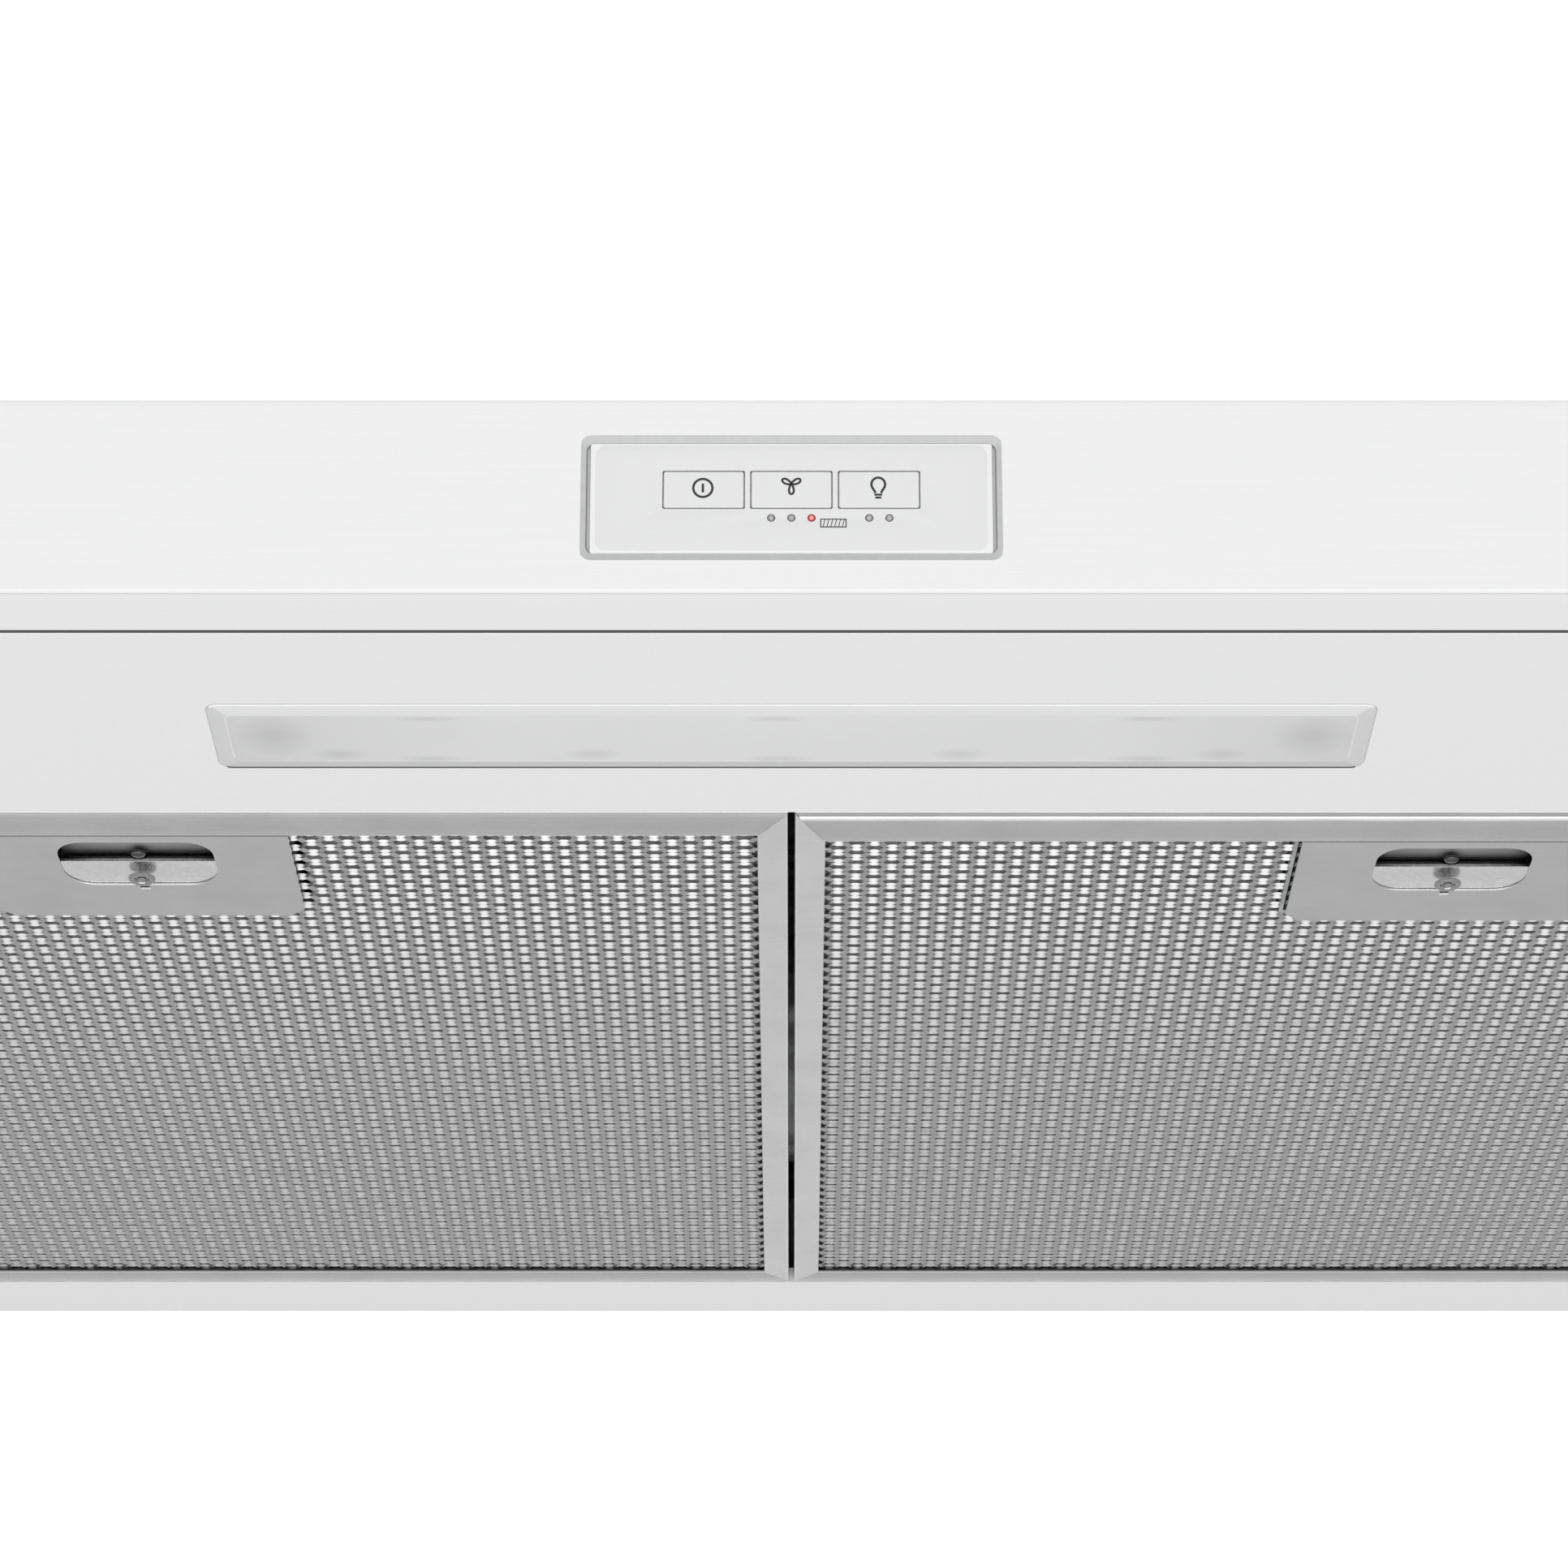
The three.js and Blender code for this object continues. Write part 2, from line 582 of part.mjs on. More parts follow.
function latchPlate() {
  const half = LATCH_PLATE.width / 2;
  const c = LATCH_PLATE.chamfer;
  const { frontY, rearY } = LATCH_PLATE;
  const plate = prismZ(outline([
    [-half, frontY], [half, frontY], [half, rearY - c], [half - c, rearY],
    [-half + c, rearY], [-half, rearY - c],
  ]), FLOOR_Z, FLOOR_Z + SHEET);
  const finger = roundedRect(
    -FINGER.width / 2, FINGER.width / 2, FINGER.frontY, FINGER.rearY, FINGER.corner,
  );
  return cut(plate, prismZ(finger, FLOOR_Z - 1, FLOOR_Z + 2));
}

function latchBox() {
  const low = FLOOR_Z + SHEET + GAP;
  const { half, frontY, rearY, topZ } = LATCH_BOX;
  const outer = box(-half, half, frontY, rearY, low, topZ);
  const inner = box(
    -half + SHEET, half - SHEET, frontY + SHEET, rearY - SHEET, low - 1, topZ - SHEET,
  );
  return cut(outer, inner, tongueSlot());
}

function latchSlider() {
  const { z0, z1, half, rearY, arm, barY } = SLIDER;
  const plate = box(-half, half, SLIDER_LIP_Y, rearY, z0, z1);
  const lip = box(-half + 3, half - 3, SLIDER_LIP_Y, SLIDER_LIP_Y + SHEET, z0 - 1.4, z1);
  const leftArm = box(-half - arm / 2, -half + arm / 2, barY - 2, rearY, z0, z1);
  const rightArm = box(half - arm / 2, half + arm / 2, barY - 2, rearY, z0, z1);
  const bar = box(-half - arm / 2, half + arm / 2, barY - 4, barY, z0, z1);
  const tongue = box(-TONGUE.half, TONGUE.half, FILTER.frontY, barY, z0, TONGUE.z1);
  const hole = cylinderZ(1.8, z0 - 3, z1 + 3, 0, RIVET.y, 20);
  return cut(join(plate, lip, leftArm, rightArm, bar, tongue), hole);
}

function latchRivet() {
  const low = SLIDER.z0 - GAP;
  return turnedZ([
    [0, low - 1.1], [2.6, low - 1.1], [RIVET.radius, low - 0.5], [RIVET.radius, low],
    [1.5, low], [1.5, SLIDER.z1 + 1], [0, SLIDER.z1 + 1],
  ], 0, RIVET.y, 28);
}

class Helix extends THREE.Curve {
  constructor(radius, turns, start, end, z) {
    super();
    Object.assign(this, { radius, turns, start, end, z });
  }

  getPoint(t, target = new THREE.Vector3()) {
    const angle = 2 * Math.PI * this.turns * t;
    return target.set(
      this.radius * Math.cos(angle),
      this.start + (this.end - this.start) * t,
      this.z + this.radius * Math.sin(angle),
    );
  }
}

function ring(radius, sides) {
  const shape = new THREE.Shape();
  for (let i = 0; i <= sides; i += 1) {
    const angle = (2 * Math.PI * i) / sides;
    const x = radius * Math.cos(angle);
    const y = radius * Math.sin(angle);
    if (i === 0) shape.moveTo(x, y);
    else if (i < sides) shape.lineTo(x, y);
  }
  return shape;
}

function latchSpring() {
  const wire = 0.35;
  const turns = 7;
  const start = SLIDER.rearY + GAP + wire;
  const end = LATCH_BOX.rearY - SHEET - GAP - wire;
  const path = new Helix(1.9, turns, start, end, -135.7);
  const options = { extrudePath: path, steps: turns * 10, bevelEnabled: false };
  return new THREE.ExtrudeGeometry(ring(wire, 6), options);
}

function buildFilter(side, name) {
  const filter = addGroup(hood, side * FILTER_X);
  place(filter, `${name}_filter_frame`, filterFrame(), aluminium);
  place(filter, `${name}_filter_mesh`, filterMesh(), aluminium);
  place(filter, `${name}_latch_plate`, latchPlate(), aluminium);
  place(filter, `${name}_latch_box`, latchBox(), galvanised);
  place(filter, `${name}_latch_slider`, latchSlider(), steel);
  place(filter, `${name}_latch_rivet`, latchRivet(), steel);
  place(filter, `${name}_latch_spring`, latchSpring(), steel);
}

// ---------------------------------------------------------------- blower

// The scroll's outer wall: a spiral about the shaft, then straight up to the outlet.
function scrollPath() {
  const start = THREE.MathUtils.degToRad(115);
  const end = THREE.MathUtils.degToRad(360);
  const steps = 22;
  const spiral = [];
  for (let i = 0; i <= steps; i += 1) {
    const angle = start + ((end - start) * i) / steps;
    const r = BLOWER.cutoff + ((BLOWER.outlet - BLOWER.cutoff) * i) / steps;
    spiral.push([ROTOR.y + r * Math.cos(angle), ROTOR.z + r * Math.sin(angle)]);
  }
  return [[DUCT.frontY, BLOWER_TOP_Z], ...spiral, [DUCT_REAR_Y - SHEET, BLOWER_TOP_Z]];
}

function scrollWrap() {
  const path = scrollPath();
  const inside = BLOWER.half - SHEET - GAP;
  return prismX(sheetOutline(path), -inside, inside);
}

function blowerSide(side) {
  const near = side * (BLOWER.half - SHEET);
  const far = side * BLOWER.half;
  const rim = offsetPath(scrollPath(), -2);
  const plate = prismX(rim, Math.min(near, far), Math.max(near, far));
  const clip = box(-200, 200, -60, 200, BLOWER_TOP_Z, 20);
  const inlet = cylinderX(BLOWER.inlet, -200, 200, ROTOR.y, ROTOR.z, 48);
  return cut(plate, clip, inlet);
}

function blowerWheel(side) {
  const near = ROTOR.wheelInner;
  const far = near + ROTOR.wheelWidth;
  const span = (a, b, r, sides) => cylinderX(
    r, Math.min(side * a, side * b), Math.max(side * a, side * b), 0, 0, sides,
  );
  const hubPlate = span(near, near + 1.2, ROTOR.wheelRadius, 48);
  const hub = span(near, near + 22, 9, 24);
  const endRing = cut(
    span(far - 3, far, ROTOR.wheelRadius, 48), span(far - 4, far + 1, ROTOR.wheelRadius - 8, 48),
  );
  const blades = Array.from({ length: 30 }, (_, i) => {
    const x = side * (near + ROTOR.wheelWidth / 2);
    const blade = new THREE.BoxGeometry(ROTOR.wheelWidth - 0.4, 7, 0.9);
    blade.rotateX(0.5).translate(x, ROTOR.wheelRadius - 4.2, 0);
    return blade.rotateX((2 * Math.PI * i) / 30);
  });
  const wheel = join(hubPlate, hub, endRing, ...blades);
  return cut(wheel, span(near - 1, far + 1, ROTOR.shaft + GAP, 24));
}

function motorBody() {
  const can = cylinderX(MOTOR.radius, -MOTOR.half, MOTOR.half, 0, 0, 40);
  const caps = [-1, 1].map((side) => {
    const a = side * MOTOR.half;
    const b = side * (MOTOR.half + 6);
    return cylinderX(12, Math.min(a, b), Math.max(a, b), 0, 0, 24);
  });
  const bore = cylinderX(ROTOR.shaft + GAP, -MOTOR.half - 9, MOTOR.half + 9, 0, 0, 24);
  return cut(join(can, ...caps), bore);
}

// A cradle under the motor that stands on the scroll's curved floor.
function motorBracket() {
  const { y } = ROTOR;
  const saddle = ROTOR.z - MOTOR.radius - 3;
  const block = box(-24, 24, y - 24, y + 24, -128, ROTOR.z - 20);
  const motor = cylinderX(MOTOR.radius + GAP, -40, 40, y, ROTOR.z, 40);
  const window = box(-30, 30, y - 20, y + 20, saddle - 15, saddle);
  const inner = offsetPath(scrollPath(), SHEET + GAP);
  const outside = prismX([...inner, [200, 0], [200, -300], [-200, -300], [-200, 0]], -40, 40);
  return cut(block, motor, window, outside);
}

function buildBlower() {
  const casing = addGroup(hood);
  place(casing, 'blower_scroll', scrollWrap(), galvanised);
  place(casing, 'blower_left_side', blowerSide(-1), galvanised);
  place(casing, 'blower_right_side', blowerSide(1), galvanised);
  const rotor = addGroup(hood, 0, ROTOR.y, ROTOR.z);
  place(casing, 'motor_bracket', motorBracket(), galvanised);
  place(rotor, 'blower_motor', motorBody(), castAlloy);
  place(rotor, 'motor_shaft', cylinderX(ROTOR.shaft, -120, 120, 0, 0, 24), steel);
  place(rotor, 'left_blower_wheel', blowerWheel(-1), galvanised);
  place(rotor, 'right_blower_wheel', blowerWheel(1), galvanised);
}

// ---------------------------------------------------------------- duct collar and damper

// The collar rises through the top sheet from a flange under it.
function ductCollar() {
  const x = DUCT.width / 2;
  const foot = COLLAR_FOOT_Z;
  const flange = box(-x - 12, x + 12, DUCT.frontY - 12, DUCT_REAR_Y + 12, foot, foot + SHEET);
  const wall = box(-x, x, DUCT.frontY, DUCT_REAR_Y, foot, DUCT.height);
  const inside = box(
    -x + SHEET, x - SHEET, DUCT.frontY + SHEET, DUCT_REAR_Y - SHEET, foot - 1, DUCT.height + 1,
  );
  const stops = [-70, 70].map((at) => {
    const z = FLAP.z - GAP;
    return box(at - 9, at + 9, DUCT.frontY + 0.5, DUCT.frontY + 6, z - SHEET, z);
  });
  const pinHole = cylinderX(FLAP.pin + GAP, -x - 2, x + 2, FLAP.hingeY, FLAP.z + 0.5, 20);
  return cut(join(cut(join(flange, wall), inside), ...stops), pinHole);
}

function damperFlap() {
  const x = DUCT.width / 2 - SHEET - 0.6;
  const axisZ = FLAP.z + 0.5;
  const plate = box(-x, x, DUCT.frontY + SHEET + 0.5, FLAP.hingeY - 1.8, FLAP.z, FLAP.z + 1);
  const knuckle = cylinderX(FLAP.knuckle, -x, x, FLAP.hingeY, axisZ, 20);
  const bead = box(-x + 20, x - 20, 66, 70, FLAP.z + 0.5, FLAP.z + 2.4);
  const bore = cylinderX(FLAP.pin + GAP, -x - 2, x + 2, FLAP.hingeY, axisZ, 20);
  return cut(join(plate, knuckle, bead), bore);
}

function damperPin() {
  const x = DUCT.width / 2 + 1.5;
  return cylinderX(FLAP.pin, -x, x, FLAP.hingeY, FLAP.z + 0.5, 16);
}

function buildDamper() {
  const outlet = addGroup(hood);
  place(outlet, 'duct_collar', ductCollar(), galvanised);
  place(outlet, 'damper_flap', damperFlap(), galvanised);
  place(outlet, 'damper_pin', damperPin(), steel);
}

// ---------------------------------------------------------------- wiring

const WIRING = { x0: 240, x1: 340, y0: 60, y1: 146, bottom: -60 };
const HARNESS_POINTS = [
  [54, -322.5, -108.7], [64, -320, -107], [104, -300, -90], [190, -245, -62],
  [270, -165, -24], [292, -90, -9], [292, -20, -9], [290, 40, -13], [290, 70, -14],
];

function wiringBox() {
  const top = -SHEET - GAP;
  const outer = box(WIRING.x0, WIRING.x1, WIRING.y0, WIRING.y1, WIRING.bottom, top);
  const inner = box(
    WIRING.x0 + SHEET, WIRING.x1 - SHEET, WIRING.y0 + SHEET, WIRING.y1 - SHEET,
    WIRING.bottom - 1, top - SHEET,
  );
  const entry = cylinderZ(CABLE_ENTRY.radius, -9, 3, CABLE_ENTRY.x, CABLE_ENTRY.y, 28);
  const harness = cylinderY(3.6, WIRING.y0 - 3, WIRING.y0 + 3, 290, -14, 20);
  return cut(outer, inner, entry, harness);
}

function cableBushing() {
  const neck = CABLE_ENTRY.radius - GAP;
  const body = turnedZ([
    [7, -4], [neck, -4], [neck, GAP], [CABLE_ENTRY.radius + 3, GAP],
    [CABLE_ENTRY.radius + 2, 2.4], [7, 2.4], [7, -4],
  ], CABLE_ENTRY.x, CABLE_ENTRY.y, 28);
  return body;
}

function controlHarness() {
  const curve = new THREE.CatmullRomCurve3(HARNESS_POINTS.map((p) => new THREE.Vector3(...p)));
  const options = { extrudePath: curve, steps: 40, bevelEnabled: false };
  return new THREE.ExtrudeGeometry(ring(2.4, 8), options);
}

function buildWiring() {
  const wiring = addGroup(hood);
  place(wiring, 'wiring_box', wiringBox(), galvanised);
  const coverZ = WIRING.bottom - GAP;
  const cover = box(WIRING.x0, WIRING.x1, WIRING.y0, WIRING.y1, coverZ - SHEET, coverZ);
  place(wiring, 'wiring_box_cover', cover, galvanised);
  place(wiring, 'terminal_block', box(255, 325, 98, 112, -16, -2.6), darkPlastic);
  place(wiring, 'run_capacitor', cylinderX(13, 256, 318, 126, -42, 32), castAlloy);
  place(wiring, 'cable_bushing', cableBushing(), darkPlastic);
  place(wiring, 'control_harness', controlHarness(), darkPlastic);
}

// ---------------------------------------------------------------- assembly

buildShell();
buildControls();
buildFilter(-1, 'left');
buildFilter(1, 'right');
buildBlower();
buildDamper();
buildWiring();

export default hood;
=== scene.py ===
import math

import bmesh
import bpy
import numpy as np
from mathutils import Matrix, Vector


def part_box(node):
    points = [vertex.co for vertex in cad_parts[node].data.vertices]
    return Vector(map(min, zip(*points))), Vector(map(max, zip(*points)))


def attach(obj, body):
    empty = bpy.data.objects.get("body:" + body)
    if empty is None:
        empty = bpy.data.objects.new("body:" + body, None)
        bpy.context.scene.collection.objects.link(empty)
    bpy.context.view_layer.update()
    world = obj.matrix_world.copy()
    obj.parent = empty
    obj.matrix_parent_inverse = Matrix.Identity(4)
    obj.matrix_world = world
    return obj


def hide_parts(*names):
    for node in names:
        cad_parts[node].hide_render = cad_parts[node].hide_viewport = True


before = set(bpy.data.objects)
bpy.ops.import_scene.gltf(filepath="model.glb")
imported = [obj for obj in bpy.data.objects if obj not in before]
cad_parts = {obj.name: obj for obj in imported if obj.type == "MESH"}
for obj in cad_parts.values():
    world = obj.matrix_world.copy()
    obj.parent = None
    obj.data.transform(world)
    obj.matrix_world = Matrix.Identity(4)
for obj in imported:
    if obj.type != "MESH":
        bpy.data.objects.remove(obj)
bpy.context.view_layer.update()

# Under cabinet range hood. +X right, +Y to the wall, +Z up.
# Shapes are drawn in millimetres, and a working frame takes them to the scene's metres:
# FACE lies on the leaning fascia, as (x, height up the slant, outward),
# UNDER lies on the underside, as (x, distance forward, downward), and ROW is the row frame.
# Lights, modifiers and shader textures are in metres.

MM = 0.001

# ---------------------------------------------------------------- sizes from the frame


def cad_box(name):
    """The low and high corners of a CAD node, in millimetres."""
    low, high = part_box(name)
    return low / MM, high / MM


LEAN = math.radians(12)
SLANT = 50
FLOOR_Z = cad_box("underside_panel")[0].z
HALF = cad_box("top_panel")[1].x
INSIDE = cad_box("underside_panel")[1].x
FRONT_Y = cad_box("top_panel")[0].y
BACK_Y = cad_box("back_panel")[1].y
FOOT_Y = FRONT_Y + SLANT * math.sin(LEAN)
LIP_END_Y = cad_box("front_fascia")[1].y - 0.2
LIP_BEND = 0.5
PANEL_EDGE_Y = cad_box("underside_panel")[0].y - 0.3
PANEL_REAR_Y = cad_box("underside_panel")[1].y
SLOPE_HEAD_Y = -BACK_Y
SLOPE_FOOT_Z = FLOOR_Z + SLANT * math.cos(LEAN)
UPSTAND = 12
SHEET_THICK = 0.98 * MM
THIN_SHEET = 0.3 * MM

RECESS = {"half": 51.75, "low": 8.4, "high": 40.4, "depth": 1.5}
WINDOW = {"half": 46.5, "low": 12.7, "high": 35.8}
OVERLAY = {"half": 49.45, "low": 10.1, "high": 38.7, "corner": 0.7}
FILM = {"half": 48.1, "low": 10.8, "high": 37.95, "corner": 2.4}
BUTTON = {"width": 20, "low": 21.7, "high": 31.45, "pitch": 21.55}
BUTTON_MIDDLE = (BUTTON["low"] + BUTTON["high"]) / 2
LAMP_HEIGHT = 19.2
LAMP_RADIUS = 0.85
LAMPS = {"speed_led_1": -4.95, "speed_led_2": 0.0, "filter_led": 4.95,
         "light_led_1": 19.1, "light_led_2": 24.05}
FACE_SETBACK = 0.4
LENS = {"half": 150, "front": 280.6, "rear": 247}
FILTER_RAIL = {"front": 13, "side": 8.4}
FILTER_LENGTH = 345
LATCH_PLATE = {"half": 43, "front": 207.4, "rear": 159.4, "chamfer": 4}
FINGER = {"half": 21.75, "front": 204.1, "rear": 178.1}
MESH_LONG = 9.88
MESH_SHORT = 5.85

ROW = Matrix.Scale(MM, 4)
FACE = (
    ROW
    @ Matrix.Translation((0, FOOT_Y, FLOOR_Z))
    @ Matrix.Rotation(LEAN, 4, "X")
    @ Matrix.Rotation(math.pi / 2, 4, "X")
)
UNDER = ROW @ Matrix.Translation((0, 0, FLOOR_Z)) @ Matrix.Rotation(math.pi, 4, "X")


# ---------------------------------------------------------------- camera

def add_camera():
    """Looks up at the controls and the underside from in front of the hood."""
    data = bpy.data.cameras.new("camera")
    data.lens = 93.2
    data.sensor_width = 36
    data.shift_x = -0.0047
    camera = bpy.data.objects.new("camera", data)
    bpy.context.collection.objects.link(camera)
    ahead, below, pitch = 850, 509, math.radians(28.2)
    camera.location = Vector((0, FOOT_Y - ahead, FLOOR_Z - below)) * MM
    camera.rotation_euler = (math.pi / 2 + pitch, 0, 0)
    bpy.context.scene.camera = camera


add_camera()


# ---------------------------------------------------------------- materials

def add_node(owner, kind, settings=(), **values):
    """A shader node in a material or world; a value is a number or another node's output."""
    tree = owner.node_tree
    node = tree.nodes.new("ShaderNode" + kind)
    for name, value in dict(settings).items():
        setattr(node, name, value)
    for name, value in values.items():
        set_input(owner, node, name.replace("_", " "), value)
    return node


def set_input(owner, node, name, value):
    if isinstance(value, bpy.types.NodeSocket):
        owner.node_tree.links.new(value, node.inputs[name])
    else:
        node.inputs[name].default_value = value


def shader_of(material):
    return material.node_tree.nodes["Principled BSDF"]


def new_material(name, colour, rough, metal=0.0):
    """A material with one Principled shader and its uniform values."""
    material = bpy.data.materials.new(name)
    material.use_nodes = True
    shader = shader_of(material)
    grey = (colour,) * 3 if isinstance(colour, (int, float)) else colour
    shader.inputs["Base Color"].default_value = (*grey, 1)
    shader.inputs["Roughness"].default_value = rough
    shader.inputs["Metallic"].default_value = metal
    material.diffuse_color = (*grey, 1)
    return material


def row_place(material):
    return add_node(material, "TexCoord").outputs["Object"]


def noise(material, per_mm, detail=3.0, stretch=(1, 1, 1)):
    """Noise in the row frame, with about per_mm features to the millimetre."""
    scale = [per_mm / MM * s for s in stretch]
    place = add_node(material, "Mapping", Vector=row_place(material), Scale=scale)
    return add_node(material, "TexNoise", Vector=place.outputs["Vector"], Scale=1.0,
                    Detail=detail).outputs["Fac"]


def ranged(owner, value, low, high, start=0.3, end=0.7, settings=()):
    """value from start..end, spread over low..high."""
    return add_node(owner, "MapRange", settings, Value=value, From_Min=start, From_Max=end,
                    To_Min=low, To_Max=high).outputs["Result"]


def blend_colour(material, factor, first, second):
    """Sets the base colour to first where factor is 0 and second where it is 1."""
    mix = add_node(material, "Mix", {"data_type": "RGBA"}, A=(*first, 1), B=(*second, 1),
                   Factor=factor)
    set_input(material, shader_of(material), "Base Color", mix.outputs["Result"])


def tint(material, value, spread):
    """Varies the base colour's brightness by +-spread as value goes from 0 to 1."""
    base = list(shader_of(material).inputs["Base Color"].default_value)[:3]
    blend_colour(material, ranged(material, value, 0, 1), [c * (1 - spread) for c in base],
                 [min(1.0, c * (1 + spread)) for c in base])


def roughen(material, value, spread):
    rough = shader_of(material).inputs["Roughness"].default_value
    result = ranged(material, value, rough - spread, rough + spread)
    set_input(material, shader_of(material), "Roughness", result)


def bump(material, value, height_mm, strength):
    node = add_node(material, "Bump", Distance=height_mm * MM, Strength=strength, Height=value)
    set_input(material, shader_of(material), "Normal", node.outputs["Normal"])


def surface(name, colour, rough, metal, grain, tinted=0, roughened=0, bumped=None):
    """A material that one noise varies; grain is what noise takes, and bumped what bump takes."""
    material = new_material(name, colour, rough, metal)
    value = noise(material, *grain)
    if tinted:
        tint(material, value, tinted)
    if roughened:
        roughen(material, value, roughened)
    if bumped:
        bump(material, value, *bumped)
    return material


def recess_painted_shade(name, white):
    """White enamel darkened to paint shade into the stamped recess, on its walls and floor."""
    return surface(name, (white, white + 0.003, white + 0.005), 0.5, 0, (0.5, 2), 0.03,
                   bumped=(0.02, 0.3))


def rolled_aluminium(name, colour, rough):
    """Bare sheet aluminium, rolled left to right, with faint handling marks."""
    material = surface(name, colour, rough, 1.0, (1.0, 5, (0.06, 1.6, 1.6)), 0, 0.07,
                       (0.012, 0.5))
    tint(material, noise(material, 0.05, 4), 0.04)
    return material


def galvanised():
    """Zinc-coated sheet with a fine spangle."""
    material = new_material("galvanised", (0.55, 0.565, 0.58), 0.42, 0.9)
    cells = add_node(material, "TexVoronoi", Vector=row_place(material), Scale=0.14 / MM)
    split = add_node(material, "SeparateColor", Color=cells.outputs["Color"])
    tint(material, split.outputs["Red"], 0.1)
    roughen(material, split.outputs["Green"], 0.08)
    bump(material, noise(material, 0.5, 2), 0.02, 0.3)
    return material


def plated_steel(name, colour):
    return surface(name, colour, 0.24, 1.0, (0.6, 4), 0.05, 0.07)


def moulded(name, colour, rough, spread=0.012):
    """Injection-moulded plastic with a fine spark-eroded grain."""
    return surface(name, colour, rough, 0, (4.0, 2), spread, 0.05, (0.01, 0.35))


def circuit(name, colour):
    return surface(name, colour, 0.35, 0, (0.5, 1, (1, 0.15, 1)), 0.18, bumped=(0.03, 0.4))


def lamp(name, colour, glow=0.0):
    """A moulded light pipe's material, glowing where glow is given; the thin tips take paler
    copies of it.
    """
    material = surface(name, colour, 0.28, 0, (1.6, 2), 0.12)
    shader = shader_of(material)
    shader.inputs["Coat Weight"].default_value = 0.5
    if glow:
        shader.inputs["Emission Color"].default_value = (*colour, 1)
        shader.inputs["Emission Strength"].default_value = glow
    return material


# White baked enamel over faintly brushed steel, then the same where it isn't brushed.
ENAMEL = surface("white_enamel", (0.86, 0.862, 0.862), 0.36, 0, (1.0, 4, (0.022, 2.4, 2.4)),
                 0.012, 0.06, (0.02, 0.35))
PLAIN_ENAMEL = surface("satin_enamel", (0.85, 0.852, 0.852), 0.42, 0, (0.35, 2), 0.006, 0.04,
                       (0.02, 0.25))
# Painted shade: the recess's walls and floor take a darker copy of the white enamel.
RECESS_PAINTED_SHADE = recess_painted_shade("recess_painted_shade", 0.57)
# Painted shadow: darker still, in the gutter between the overlay and the recess wall at each end.
GUTTER_PAINTED_SHADOW = recess_painted_shade("gutter_painted_shadow", 0.36)
RAIL = rolled_aluminium("rail_aluminium", 0.67, 0.3)
# Painted light: the side rails take a lighter copy of the rail aluminium for the light their grain
# catches.
SIDE_RAIL_LIT = rolled_aluminium("side_rail_lit_aluminium", 0.89, 0.32)
LATCH_SHEET = rolled_aluminium("latch_aluminium", 0.67, 0.4)
MESH_METAL = surface("expanded_aluminium", 0.55, 0.34, 1.0, (0.6, 3), 0.08, 0.08, (0.03, 0.4))
PACKING = surface("filter_packing", 0.24, 0.5, 0.9, (0.5, 4), 0.5, bumped=(0.5, 0.8))
ZINC = galvanised()
NICKEL = plated_steel("nickel_plate", 0.78)
SLIDER_STEEL = plated_steel("slider_plate", 0.92)
DARK_STEEL = plated_steel("dark_steel", 0.12)
RIVET_METAL = plated_steel("rivet_metal", 0.42)
WELL_METAL = new_material("well_metal", 0.5, 0.9, 0.2)
CONTROL_GREY = moulded("control_grey", (0.87, 0.872, 0.875), 0.42)
BUTTON_GREY = moulded("button_grey", (0.785, 0.787, 0.79), 0.4)
DARK_PLASTIC = moulded("dark_plastic", (0.03, 0.03, 0.032), 0.5, 0.15)
# Painted shadow: near-black for the strips put in the gaps at the lip seam and behind the lens.
SEAM_SHADOW_GREY = moulded("seam_shadow_grey", (0.07, 0.07, 0.072), 0.6, 0.05)
DRIVER_PLASTIC = moulded("driver_plastic", (0.7, 0.7, 0.69), 0.45)
INK = surface("printed_ink", (0.018, 0.018, 0.02), 0.45, 0, (6.0, 2), 0.2)
GREEN_BOARD = circuit("green_board", (0.03, 0.16, 0.06))
WHITE_BOARD = circuit("white_board", (0.8, 0.8, 0.77))
ALLOY = surface("cast_alloy", (0.42, 0.43, 0.44), 0.48, 0.85, (0.8, 4), 0.1, bumped=(0.08, 0.5))
GREY_LAMP = lamp("grey_lamp", (0.3, 0.3, 0.31))
GREY_TIP = lamp("grey_tip", (0.5, 0.5, 0.51))
RED_LAMP = lamp("red_lamp", (0.5, 0.02, 0.02), 0.22)
RED_TIP = lamp("red_tip", (1.0, 0.3, 0.29), 0.4)


# ---------------------------------------------------------------- mesh helpers

WELD = 0.0001


def to_mesh(bm, smooth):
    """Makes the mesh, with edges over `smooth` degrees kept sharp."""
    mesh = bpy.data.meshes.new("mesh")
    bm.to_mesh(mesh)
    bm.free()
    mesh.shade_smooth()
    mesh.set_sharp_from_angle(angle=math.radians(smooth))
    return mesh


def finish_mesh(bm, smooth=35):
    """Welds, and faces outward where closed."""
    bmesh.ops.remove_doubles(bm, verts=bm.verts, dist=WELD)
    bmesh.ops.recalc_face_normals(bm, faces=bm.faces)
    return to_mesh(bm, smooth)


def add_piece(name, mesh, body, material, matrix, slot, replaces=()):
    """Puts a mesh in the scene, on a body, in the row frame."""
    mesh.transform(matrix)
    mesh.name = name
    if material:
        mesh.materials.append(material)
    piece = bpy.data.objects.new(name, mesh)
    bpy.context.collection.objects.link(piece)
    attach(piece, body)
    if replaces:
        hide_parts(*replaces)
    return piece


def add_modifier(piece, kind, **settings):
    modifier = piece.modifiers.new(kind.lower(), kind)
    for key, value in settings.items():
        setattr(modifier, key, value)


